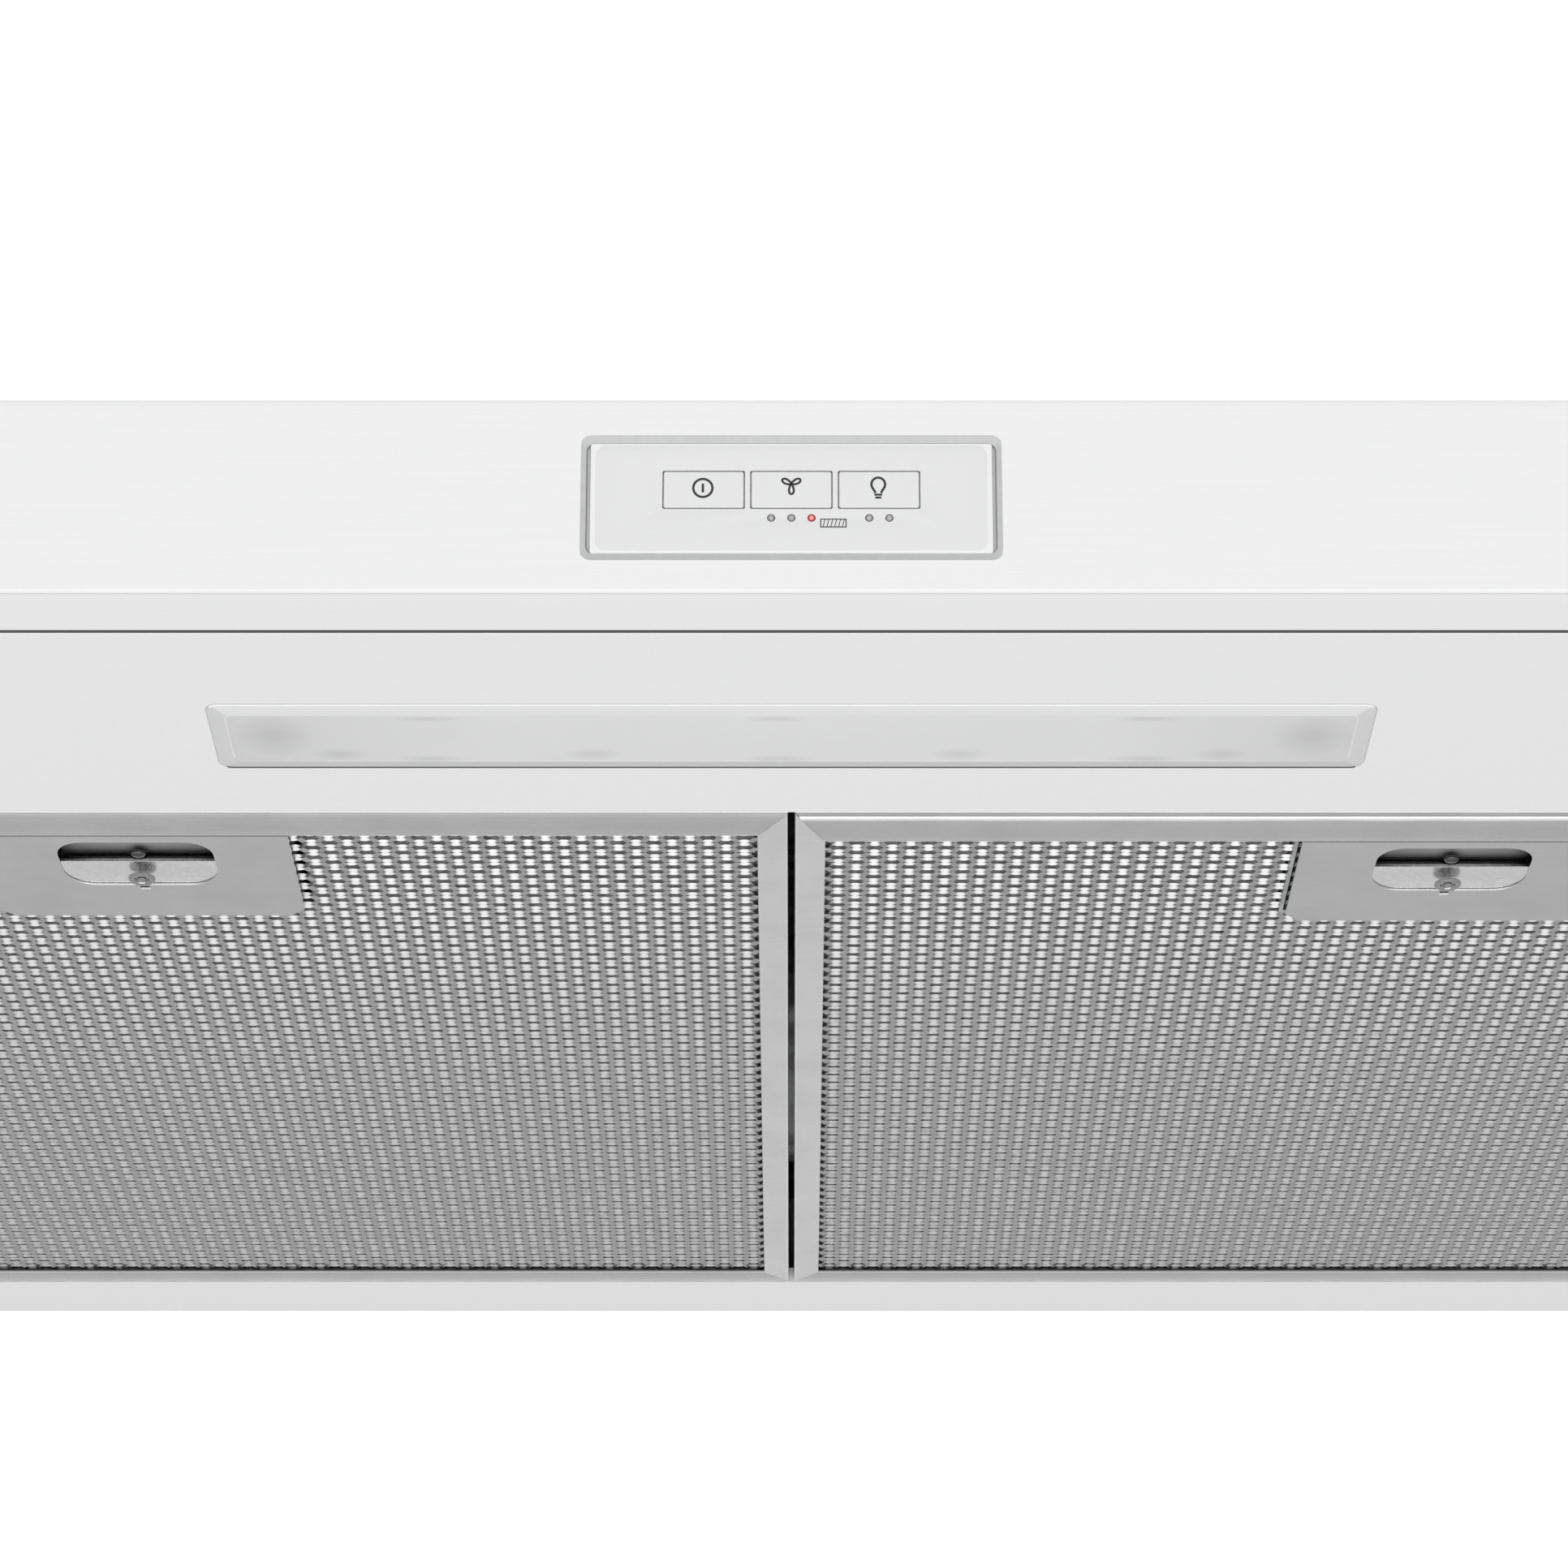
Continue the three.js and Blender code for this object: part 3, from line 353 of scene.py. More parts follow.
def thicken(piece, thickness):
    """Gives a drawn outer skin its thickness, inward."""
    add_modifier(piece, "SOLIDIFY", thickness=thickness, offset=-1, use_even_offset=True)


def arc_points(cx, cy, radius, start, end, steps, squash=1):
    """Points on an arc in degrees; squash narrows it in x."""
    turns = [math.radians(start + (end - start) * i / steps) for i in range(steps + 1)]
    return [(cx + radius * squash * math.cos(a), cy + radius * math.sin(a)) for a in turns]


def circle(cx, cy, radius, steps=24):
    return arc_points(cx, cy, radius, 0, 360, steps)[:-1]


def rounded_rect(x0, x1, y0, y1, radius, steps=6):
    """Anticlockwise points of a rectangle with round corners."""
    left, right, low, high = x0 + radius, x1 - radius, y0 + radius, y1 - radius
    corners = ((right, low, -90), (right, high, 0), (left, high, 90), (left, low, 180))
    return [point for cx, cy, start in corners
            for point in arc_points(cx, cy, radius, start, start + 90, steps)]


def plate(outlines, thick, edge, segments=2):
    """A flat plate with round edges and holes; its outer face is at 0 and it is `thick` deep."""
    curve = bpy.data.curves.new("plate", "CURVE")
    curve.dimensions = "2D"
    curve.fill_mode = "BOTH"
    curve.extrude = thick / 2 - edge
    curve.bevel_depth = edge
    curve.bevel_resolution = segments
    curve.offset = -edge
    for outline in outlines:
        spline = curve.splines.new("POLY")
        spline.points.add(len(outline) - 1)
        spline.use_cyclic_u = True
        for point, (x, y) in zip(spline.points, outline):
            point.co = (x, y, 0, 1)
    holder = bpy.data.objects.new("plate", curve)
    source = bpy.data.meshes.new_from_object(holder)
    source.transform(Matrix.Translation((0, 0, -thick / 2)))
    bm = bmesh.new()
    bm.from_mesh(source)
    bpy.data.objects.remove(holder)
    bpy.data.curves.remove(curve)
    bpy.data.meshes.remove(source)
    return finish_mesh(bm)


def loft(bm, loops):
    """Quads between rings of points; each ring is a list of (x, y, z)."""
    rings = [[bm.verts.new(p) for p in loop] for loop in loops]
    for lower, upper in zip(rings, rings[1:]):
        count = len(lower)
        for i in range(count):
            j = (i + 1) % count
            bm.faces.new((lower[i], lower[j], upper[j], upper[i]))
    return rings


def solid(rings, smooth=35):
    """A closed mesh through rings of points, capped at both ends."""
    bm = bmesh.new()
    made = loft(bm, rings)
    bm.faces.new(made[0])
    bm.faces.new(made[-1])
    return finish_mesh(bm, smooth)


def turned(profile, steps=32):
    """A closed solid turned about its third axis, through (radius, height) points."""
    return solid([[(x, y, h) for x, y in circle(0, 0, r, steps)] for r, h in profile], 40)


def rounded_block(x0, x1, y0, y1, z0, z1, edge, segments=3):
    bm = bmesh.new()
    matrix = Matrix.Translation(((x0 + x1) / 2, (y0 + y1) / 2, (z0 + z1) / 2))
    matrix = matrix @ Matrix.Diagonal((x1 - x0, y1 - y0, z1 - z0, 1))
    bmesh.ops.create_cube(bm, size=1, matrix=matrix)
    bmesh.ops.bevel(bm, geom=list(bm.edges), offset=edge, segments=segments, affect="EDGES",
                    profile=0.5)
    return finish_mesh(bm)


def joined(meshes):
    bm = bmesh.new()
    for mesh in meshes:
        bm.from_mesh(mesh)
        bpy.data.meshes.remove(mesh)
    mesh = bpy.data.meshes.new("mesh")
    bm.to_mesh(mesh)
    bm.free()
    return mesh


def round_path(path, radius, steps=6):
    """A path of (a, b) points with its inner corners turned into arcs."""
    result = [Vector(path[0])]
    for before, here, after in zip(path, path[1:], path[2:]):
        corner = Vector(here)
        back = (Vector(before) - corner).normalized()
        onward = (Vector(after) - corner).normalized()
        half = back.angle(onward) / 2
        reach = radius / math.tan(half)
        centre = corner + (back + onward).normalized() * radius / math.sin(half)
        start = corner + back * reach - centre
        end = corner + onward * reach - centre
        swing = start.angle(end)
        for i in range(steps + 1):
            share = i / steps
            weights = math.sin((1 - share) * swing), math.sin(share * swing)
            mixed = (start * weights[0] + end * weights[1]) / math.sin(swing)
            result.append(centre + mixed)
    result.append(Vector(path[-1]))
    return result


# ---------------------------------------------------------------- bent sheets with an opening

def strips(bm, path, half):
    """A sheet that follows (a, b) points, across x from -half to half."""
    rows = [(bm.verts.new((-half, a, b)), bm.verts.new((half, a, b))) for a, b in path]
    for (p, q), (r, s) in zip(rows, rows[1:]):
        bm.faces.new((p, q, s, r))


def fill_flat(bm, outline, hole):
    """The flat part of a sheet inside an outline, with a hole in it."""
    edges = []
    for points in (outline, hole):
        ring = [bm.verts.new((x, y, 0)) for x, y in points]
        edges += [bm.edges.new((p, q)) for p, q in zip(ring, ring[1:] + ring[:1])]
    bmesh.ops.triangle_fill(bm, edges=edges, use_beauty=True, normal=(0, 0, 1))


def oblong(half, low, high):
    return [(-half, low), (half, low), (half, high), (-half, high)]


def sheet_mesh(bm):
    """Welds a sheet whose flat faces look along +Z, and turns all of it the same way."""
    bmesh.ops.remove_doubles(bm, verts=bm.verts, dist=WELD)
    bmesh.ops.recalc_face_normals(bm, faces=bm.faces)
    largest = max(bm.faces, key=lambda face: face.calc_area())
    if largest.normal.z < 0:
        bmesh.ops.reverse_faces(bm, faces=bm.faces)
    return to_mesh(bm, 25)


def to_face(y, z):
    """A place in the row frame as (height up the fascia's slant, outward)."""
    run, rise = y - FOOT_Y, z - FLOOR_Z
    c, s = math.cos(LEAN), math.sin(LEAN)
    return rise * c - run * s, -(run * c + rise * s)


def recess_ring(end_inset, inset, depth, radius, hole=False):
    half = RECESS["half"] - end_inset
    low, high = RECESS["low"] + inset, RECESS["high"] - inset
    points = rounded_rect(-half, half, low, high, max(radius, 0.2), 8)
    return points if hole else [(x, t, -depth) for x, t in points]


def window_ring(depth):
    points = rounded_rect(-WINDOW["half"], WINDOW["half"], WINDOW["low"], WINDOW["high"], 1, 8)
    return [(x, t, -depth) for x, t in points]


def fascia_path():
    """From the flange under the slope, round the brow and the foot, to the lip's upstand."""
    slope = Vector((SLOPE_HEAD_Y - FRONT_Y, 0 - SLOPE_FOOT_Z)).normalized()
    down = Vector((math.sin(LEAN), -math.cos(LEAN)))
    brow = Vector((FRONT_Y, SLOPE_FOOT_Z)) + down * 1.43
    back = brow + slope * 14
    points = [back, brow, (FOOT_Y, FLOOR_Z), (LIP_END_Y, FLOOR_Z), (LIP_END_Y, FLOOR_Z + UPSTAND)]
    return [to_face(*p) for p in points]


FASCIA_ENAMEL_AND_SHADES = (ENAMEL, RECESS_PAINTED_SHADE, GUTTER_PAINTED_SHADOW)


def shade_recess(mesh):
    """Paints shade on the faces below the flat sheet, with a darker painted shadow in the gutter
    at each end.
    """
    for face in mesh.polygons:
        x, t, out = face.center
        sunk = -1.6 < out < -0.02
        in_height = RECESS["low"] - 0.2 < t < RECESS["high"] + 0.2
        if sunk and in_height and abs(x) < RECESS["half"]:
            gutter = out < -0.8 and abs(x) > OVERLAY["half"]
            painted_tone = GUTTER_PAINTED_SHADOW if gutter else RECESS_PAINTED_SHADE
            face.material_index = FASCIA_ENAMEL_AND_SHADES.index(painted_tone)


def front_fascia():
    arc, steps = 1.5, 6
    path = round_path(fascia_path(), arc, steps)
    brow_end = steps + 1
    foot_start = brow_end + 1
    bm = bmesh.new()
    strips(bm, path[:brow_end + 1], HALF)
    strips(bm, path[foot_start:foot_start + steps + 1], HALF)
    lip = round_path(fascia_path()[2:], LIP_BEND, steps)
    strips(bm, [path[foot_start + steps]] + lip[1:], INSIDE)
    hole = recess_ring(-0.3, -0.3, 0, 2.9, hole=True)
    fill_flat(bm, oblong(HALF, path[foot_start][0], path[brow_end][0]), hole)
    steps_down = [(-0.3, -0.3, 0, 2.9), (-0.05, -0.05, 0.05, 2.7), (0.2, 0.2, 0.22, 2.5),
                  (1.15, 1.5, 0.62, 2.0), (1.3, 1.75, 0.8, 1.8), (1.45, 1.9, 1.4, 1.6),
                  (1.6, 2.0, 1.5, 1.4)]
    loft(bm, [recess_ring(*step) for step in steps_down] + [window_ring(RECESS["depth"])])
    mesh = sheet_mesh(bm)
    for material in FASCIA_ENAMEL_AND_SHADES:
        mesh.materials.append(material)
    shade_recess(mesh)
    piece = add_piece("fascia_sheet", mesh, "canopy", None, FACE, "paint", ["front_fascia"])
    thicken(piece, SHEET_THICK)
    add_modifier(piece, "WEIGHTED_NORMAL", keep_sharp=True)


def brow_seam():
    """The filled and painted seam between the fascia and the slope above it."""
    mesh = rounded_block(-HALF + 0.2, HALF - 0.2, SLANT - 3.3, SLANT - 0.1,
                         -1.2, -0.015, 0.5)
    add_piece("brow_seam", mesh, "canopy", ENAMEL, FACE, "paint")


def seam_shadow_strip():
    """A dark strip in the gap between the fascia's lip and the underside sheet, which paints in
    the shadow of that gap.
    """
    mesh = rounded_block(-INSIDE, INSIDE, -PANEL_EDGE_Y - 0.4, -LIP_END_Y + 0.3,
                         -2.0, -0.22, 0.1)
    add_piece("seam_shadow_strip", mesh, "canopy", SEAM_SHADOW_GREY, UNDER, "dark_plastic")


def lens_ring(inset, height, radius):
    half = LENS["half"] - inset
    points = rounded_rect(-half, half, LENS["rear"] + inset, LENS["front"] - inset,
                          max(radius, 0.3), 6)
    return [(x, v, height) for x, v in points]


def underside_panel():
    front, rear = -PANEL_EDGE_Y, -PANEL_REAR_Y
    corners = [(rear, -UPSTAND), (rear, 0), (front, 0), (front, -UPSTAND)]
    steps = 6
    path = round_path(corners, 1, steps)
    bm = bmesh.new()
    strips(bm, path[:steps + 2], INSIDE)
    strips(bm, path[steps + 2:], INSIDE)
    hole = [(x, v) for x, v, _ in lens_ring(-0.75, 0, 3.6)]
    fill_flat(bm, oblong(INSIDE, path[steps + 1][0], path[steps + 2][0]), hole)
    loft(bm, [lens_ring(-0.75, 0, 3.6), lens_ring(-0.5, -0.08, 3.4),
              lens_ring(-0.35, -0.3, 3.3), lens_ring(-0.3, -0.9, 3.2)])
    piece = add_piece("underside_sheet", sheet_mesh(bm), "canopy", PLAIN_ENAMEL, UNDER,
                      "paint", ["underside_panel"])
    thicken(piece, THIN_SHEET)
    add_modifier(piece, "WEIGHTED_NORMAL", keep_sharp=True)


# ---------------------------------------------------------------- light lens

def blob(material, x, y, rx, ry):
    """1 at a place in the row frame, falling to 0 over an ellipse of that size, all in mm."""
    place = add_node(material, "Mapping", Vector=row_place(material),
                     Location=(-x / rx, -y / ry, 0), Scale=(1 / (rx * MM), 1 / (ry * MM), 0))
    return add_node(material, "TexGradient", {"gradient_type": "SPHERICAL"},
                    Vector=place.outputs["Vector"]).outputs["Fac"]


def add_values(material, values):
    total = values[0]
    for value in values[1:]:
        node = add_node(material, "Math")
        material.node_tree.links.new(total, node.inputs[0])
        material.node_tree.links.new(value, node.inputs[1])
        total = node.outputs[0]
    return total


TAB_PLACES = (-94, -4, 92)
SEAT_PLACES = (-118, -52, 44, 112)
CHIP_PLACES = (-134, 135)
# Lit and shaded copies of the frosted acrylic: painted light on the front rim, painted shade on
# the rear rim and the ends, and a painted highlight along the front edge.
LENS_RIM_SHADES = (("lens_front_rim_lit", 0.78), ("lens_rear_rim_shaded", 0.6), ("lens_end_rim_shaded", 0.67),
             ("lens_front_edge_highlight", 0.97))
FRONT_RIM_LIT, REAR_RIM_SHADED, END_RIM_SHADED, FRONT_EDGE_HIGHLIGHT = range(1, 5)
LENS_WHITE = (0.765, 0.767, 0.77)


def frosted_acrylic(name="frosted_acrylic", whiteness=0.765):
    white = (whiteness - 0.005, whiteness - 0.003, whiteness)
    material = new_material(name, white, 0.5)
    shader = shader_of(material)
    shader.inputs["Subsurface Weight"].default_value = 0.25
    shader.inputs["Subsurface Radius"].default_value = (4 * MM,) * 3
    return material


def lens_face():
    """The frosted acrylic, with the soft shadows of the clips and seats behind it painted into its
    colour, and painted shade towards both ends.
    """
    material = frosted_acrylic()
    front, rear = -LENS["front"], -LENS["rear"]
    middle = (front + rear) / 2
    groups = ((TAB_PLACES, front + 5.9, 9, 1.7), (TAB_PLACES, rear - 6.3, 10, 2),
              (SEAT_PLACES, rear - 8.6, 8, 3.5), (CHIP_PLACES, middle - 2, 11, 11))
    shadows = [blob(material, x, y, rx, ry) for places, y, rx, ry in groups for x in places]
    ends = [blob(material, x, middle, 90, 60) for x in (-165, 165)]
    dark, slow = [ranged(material, add_values(material, values), 0, 0.13, 0, 0.8)
                  for values in (shadows, ends)]
    cloudy = ranged(material, noise(material, 0.03, 2), 0, 0.03)
    blend_colour(material, add_values(material, [dark, slow, cloudy]), LENS_WHITE, (0, 0, 0))
    bump(material, noise(material, 3.0, 2), 0.01, 0.3)
    return material


def light_lens():
    """The lens stands 0.9 mm proud, with a sloping rim and a fine step round its face."""
    half, rear, front = LENS["half"], LENS["rear"], LENS["front"]

    def ring(ends, back, ahead, height, radius):
        """Rings low on the lens drop by 0.3 mm at its rear edge."""
        points = rounded_rect(-half + ends, half - ends, rear + back, front - ahead, radius)
        drop = 0.3 if height < 0.5 else 0
        return [(x, v, height - drop * min(1, max(0, 1 - (v - rear - 1) / 3))) for x, v in points]

    rings = [
        ring(-0.26, 0.2, -0.26, -2.2, 3.0), ring(-0.26, 0.2, -0.26, 0.0, 3.0),
        ring(-0.2, 0.3, -0.2, 0.12, 2.9), ring(0.1, 0.5, 0.1, 0.3, 2.8),
        ring(4.1, 4.7, 4.0, 0.86, 1.7), ring(4.4, 4.9, 4.2, 0.9, 1.6),
        ring(5.0, 5.1, 4.5, 0.9, 1.5), ring(5.2, 5.2, 4.6, 0.78, 1.4),
        ring(5.5, 5.4, 4.9, 0.8, 1.3),
    ]
    bm = bmesh.new()
    made = loft(bm, rings)
    bm.faces.new(made[-1])
    # Painted light and shade: the rim's faces take the lit or shaded copies, and the front edge
    # the painted highlight.
    for verts in zip(made[3], made[4]):
        for face in {face for vert in verts for face in vert.link_faces}:
            if max(abs(vert.co.x) for vert in face.verts) > half - 1.4:
                face.material_index = END_RIM_SHADED
            else:
                ahead = face.calc_center_median().y > (front + rear) / 2
                face.material_index = FRONT_RIM_LIT if ahead else REAR_RIM_SHADED
    for vert in made[2]:
        for face in vert.link_faces:
            if face.calc_center_median().y > front - 0.6:
                face.material_index = FRONT_EDGE_HIGHLIGHT
    flange = [lens_ring(-3, -1.4, 4), lens_ring(-3, -2.6, 4),
              ring(5.6, 5.4, 5, -2.6, 1.2), ring(5.6, 5.4, 5, -0.6, 1.2)]
    inner = loft(bm, flange)
    bm.faces.new(inner[-1])
    outer = made[0]
    bmesh.ops.translate(bm, verts=outer, vec=(0, 0, 0.8))
    rim = inner[0]
    for i in range(len(rim)):
        j = (i + 1) % len(rim)
        bm.faces.new((outer[i], outer[j], rim[j], rim[i]))
    lens = add_piece("lens", finish_mesh(bm, 25), "canopy", lens_face(), UNDER, "frosted_lens",
                     ["light_lens"])
    for name, whiteness in LENS_RIM_SHADES:
        lens.data.materials.append(frosted_acrylic(name, whiteness))
    # Painted shadow: a dark bar in the gap along the lens's rear edge.
    rear_shadow = rounded_block(-half + 1.5, half - 1.5, rear - 0.62, rear + 0.5, -1.4, -0.1, 0.05)
    add_piece("lens_rear_shadow", rear_shadow, "canopy", SEAM_SHADOW_GREY, UNDER, "dark_plastic")


def screw_mesh():
    """A hexagon head on a round washer face, with its foot at the origin."""
    washer = turned([(0, -0.3), (4.3, -0.3), (4.3, 0.35), (4.0, 0.65), (0, 0.65)], 28)
    head = solid([[(x, y, h) for x, y in circle(0, 0, r, 6)]
                  for r, h in ((2.9, 0.4), (2.9, 2.1), (2.5, 2.5))], 30)
    return joined([washer, head])


def sheet_screws():
    """The screws that hold the top, the back, the sides and the duct collar together."""
    meshes = []
    edge, back, top = 379.5, 152.5, 0
    places = [((x, back, z), "back") for x in (-345, -190, 190, 345) for z in (-12, -128)]
    places += [((side * edge, y, z), side) for side in (-1, 1)
               for y, z in ((130, -14), (0, -14), (-130, -14), (130, -126), (-300, -122))]
    places += [((x, y, top), "top") for x in (-138, 138) for y in (38, 108)]
    places += [((x, 23, top), "top") for x in (-80, 80)]
    quarter = math.pi / 2
    turns = {"back": Matrix.Rotation(-quarter, 4, "X"), "top": Matrix.Identity(4),
             1: Matrix.Rotation(quarter, 4, "Y"), -1: Matrix.Rotation(-quarter, 4, "Y")}
    for place, face in places:
        mesh = screw_mesh()
        mesh.transform(Matrix.Translation(place) @ turns[face])
        meshes.append(mesh)
    add_piece("sheet_screws", joined(meshes), "canopy", NICKEL, ROW, "steel")


def led_strip():
    """Emitter packages along the board behind the lens."""
    low = cad_box("led_board")[0].z
    count, span, y = 24, 264, -264
    meshes = []
    for i in range(count):
        x = -span / 2 + i * span / (count - 1)
        meshes.append(rounded_block(x - 1.7, x + 1.7, y - 1.4, y + 1.4, low - 0.8, low - 0.02,
                                    0.15, 2))
    add_piece("led_packages", joined(meshes), "canopy",
              moulded("led_yellow", (0.8, 0.66, 0.2), 0.35), ROW, "frosted_lens")


# ---------------------------------------------------------------- controls

def button_hole(x, grow=0.0, corner=0.45):
    half = BUTTON["width"] / 2 + grow
    return rounded_rect(x - half, x + half, BUTTON["low"] - grow, BUTTON["high"] + grow, corner, 4)


def on_face(outward):
    return FACE @ Matrix.Translation((0, 0, outward))


def control_overlay():
    xs = [(i - 1) * BUTTON["pitch"] for i in range(3)]
    holes = [button_hole(x, 0.12) for x in xs]
    holes += [circle(x, LAMP_HEIGHT, LAMP_RADIUS + 0.12) for x in LAMPS.values()]
    o = OVERLAY
    outline = rounded_rect(-o["half"], o["half"], o["low"], o["high"], o["corner"])
    add_piece("overlay_plate", plate([outline] + holes, 0.8, 0.25, 3), "canopy",
              CONTROL_GREY, on_face(-FACE_SETBACK), "grey_plastic", ["control_overlay"])
    f = FILM
    inner = rounded_rect(-f["half"], f["half"], f["low"], f["high"], f["corner"])
    film = [inner] + [button_hole(x, 0.15) for x in xs]
    film += [circle(x, LAMP_HEIGHT, LAMP_RADIUS + 0.16) for x in LAMPS.values()]
    add_piece("overlay_film", plate(film, 0.16, 0.07, 2), "canopy", BUTTON_GREY,
              on_face(-FACE_SETBACK + 0.14), "grey_plastic")


def pillow(half_x, low, high, edge, crown):
    """A button cap: round edges and a face that crowns very slightly."""
    rings = []
    for i in range(6):
        angle = math.radians(90 * i / 5)
        inset = edge * (1 - math.cos(angle))
        drop = -edge * (1 - math.sin(angle))
        points = rounded_rect(-half_x + inset, half_x - inset, low + inset, high - inset,
                              max(0.12, 0.5 - inset), 4)
        rings.append([(x, t, drop) for x, t in points])
    middle = (low + high) / 2
    base = [(x, t, -1.9) for x, t, _ in rings[0]]
    crowned = [(x * 0.9, middle + (t - middle) * 0.85, crown) for x, t, _ in rings[-1]]
    return solid([base] + rings + [crowned], 40)


def ribbon(points, closed, width, thick):
    """A flat line of even width along points, lying on its plane."""
    pts = [Vector(p) for p in points]
    count = len(pts)
    sides = []
    for i, here in enumerate(pts):
        before = pts[i - 1] if i or closed else here
        after = pts[(i + 1) % count] if i < count - 1 or closed else here
        a = (here - before).normalized() if (here - before).length else None
        b = (after - here).normalized() if (after - here).length else None
        a, b = a or b, b or a
        along = (a + b).normalized()
        normal = Vector((-along.y, along.x))
        stretch = 1 / max(0.5, normal.dot(Vector((-a.y, a.x))))
        sides.append((here + normal * width / 2 * stretch, here - normal * width / 2 * stretch))
    bm = bmesh.new()
    rows = [[bm.verts.new((*p, z)) for p, z in ((l, 0), (r, 0), (r, thick), (l, thick))]
            for l, r in sides]
    pairs = list(zip(rows, rows[1:] + rows[:1])) if closed else list(zip(rows, rows[1:]))
    for low, high in pairs:
        for i in range(4):
            j = (i + 1) % 4
            bm.faces.new((low[i], low[j], high[j], high[i]))
    if not closed:
        bm.faces.new(rows[0])
        bm.faces.new(rows[-1])
    return finish_mesh(bm, 30)


STROKE = 0.6
PRINT_THICK = 0.04
SYMBOL_SHIFT = -0.2


def power_symbol(middle, t):
    x = middle + SYMBOL_SHIFT
    rim = ribbon(circle(x, t, 2.35, 40), True, STROKE, PRINT_THICK)
    bar = ribbon([(x, t - 1.15), (x, t + 1.15)], False, STROKE, PRINT_THICK)
    return [rim, bar]


def petal(x, t, angle, length):
    """One outlined fan blade that starts at the hub and leans to `angle`."""
    width = 0.74
    turn = Matrix.Rotation(math.radians(angle), 2)
    points = []
    for i in range(24):
        a = 2 * math.pi * i / 24
        along = length / 2 * (1 + math.cos(a))
        across = width * math.sin(a) * (0.75 + 0.25 * math.cos(a))
        points.append(turn @ Vector((along, across)) + Vector((x, t)))
    return ribbon(points, True, STROKE * 0.92, PRINT_THICK)


def fan_symbol(x, t):
    hub = t + 1.02
    return [petal(x, hub, angle, length)
            for angle, length in ((28, 2.48), (152, 2.48), (270, 2.62))]


def bulb_symbol(middle, t):
    x = middle + SYMBOL_SHIFT
    glass = arc_points(x, t + 0.95, 1.75, -38, 218, 28, 0.96)
    glass = ([(x + 0.78, t - 1.35), (x + 0.82, t - 0.95)] + glass
             + [(x - 0.82, t - 0.95), (x - 0.78, t - 1.35)])
    bars = [ribbon([(x - w, t - h), (x + w, t - h)], False,
                   STROKE * 0.9, PRINT_THICK) for w, h in ((0.95, 1.75), (0.75, 2.5))]
    return [ribbon(glass, False, STROKE, PRINT_THICK)] + bars


def filter_symbol(x, t):
    """A small grille: a frame with slanted bars, which stands for the grease filter."""
    half_w, half_h = 3.1, 1.0
    frame_line = [(x - half_w, t - half_h), (x + half_w, t - half_h),
                  (x + half_w, t + half_h), (x - half_w, t + half_h)]
    parts = [ribbon(frame_line, True, 0.26, 0.03)]
    for i in range(6):
        base = x - half_w + (0.55 + i * 0.95)
        parts.append(ribbon([(base, t - half_h), (base + 0.5, t + half_h)], False,
                            0.2, 0.03))
    return parts


def buttons():
    symbols = {"power": power_symbol, "fan": fan_symbol, "light": bulb_symbol}
    face_out = -0.2
    gap = 0.17
    for i, (use, draw) in enumerate(symbols.items()):
        x = (i - 1) * BUTTON["pitch"]
        cap = pillow(BUTTON["width"] / 2 - gap, BUTTON["low"] + gap, BUTTON["high"] - gap,
                     0.3, 0.02)
        collar = rounded_block(-10.2, 10.2, BUTTON["low"] - 0.2,
                               BUTTON["high"] + 0.2, -2.1, -1.5, 0.1)
        stem = turned([(0.0, -8.3), (1.8, -8.3), (2.0, -8.1),
                       (2.0, -2.0), (0.0, -2.0)], 20)
        stem.transform(Matrix.Translation((0, BUTTON_MIDDLE, 0)))
        mesh = joined([cap, collar, stem])
        mesh.set_sharp_from_angle(angle=math.radians(40))
        add_piece(f"{use}_cap", mesh, f"{use}_key", BUTTON_GREY,
                  on_face(face_out) @ Matrix.Translation((x, 0, 0)),
                  "button_plastic", [f"{use}_button"])
        marks = joined(draw(x, BUTTON_MIDDLE + 0.35))
        add_piece(f"{use}_symbol", marks, f"{use}_key", INK, on_face(face_out + 0.01),
                  "dark_plastic")
    grille = joined(filter_symbol(10.3, 17.8))
    add_piece("filter_symbol", grille, "canopy", INK, on_face(-FACE_SETBACK + 0.135),
              "dark_plastic")


def lamps():
    out = -FACE_SETBACK + 0.1
    r = LAMP_RADIUS
    for name, x in LAMPS.items():
        colour, pipe_material, tip_material = (
            ("red", RED_LAMP, RED_TIP) if name == "filter_led" else ("grey", GREY_LAMP, GREY_TIP))
        spot = on_face(out) @ Matrix.Translation((x, LAMP_HEIGHT, 0))
        pipe = turned([(0, -7.6), (r * 0.98, -7.6), (r, -0.2), (r * 0.94, 0),
                       (r * 0.78, 0.06), (r * 0.62, -0.02), (0, -0.03)], 28)
        add_piece(f"{name}_pipe", pipe, "canopy", pipe_material, spot, f"{colour}_lamp", [name])
        tip = turned([(0, -0.02), (r * 0.6, -0.02), (r * 0.5, 0.05),
                      (r * 0.25, 0.1), (0, 0.11)], 24)
        add_piece(f"{name}_tip", tip, "canopy", tip_material, spot, f"{colour}_lamp")


# ---------------------------------------------------------------- grease filters

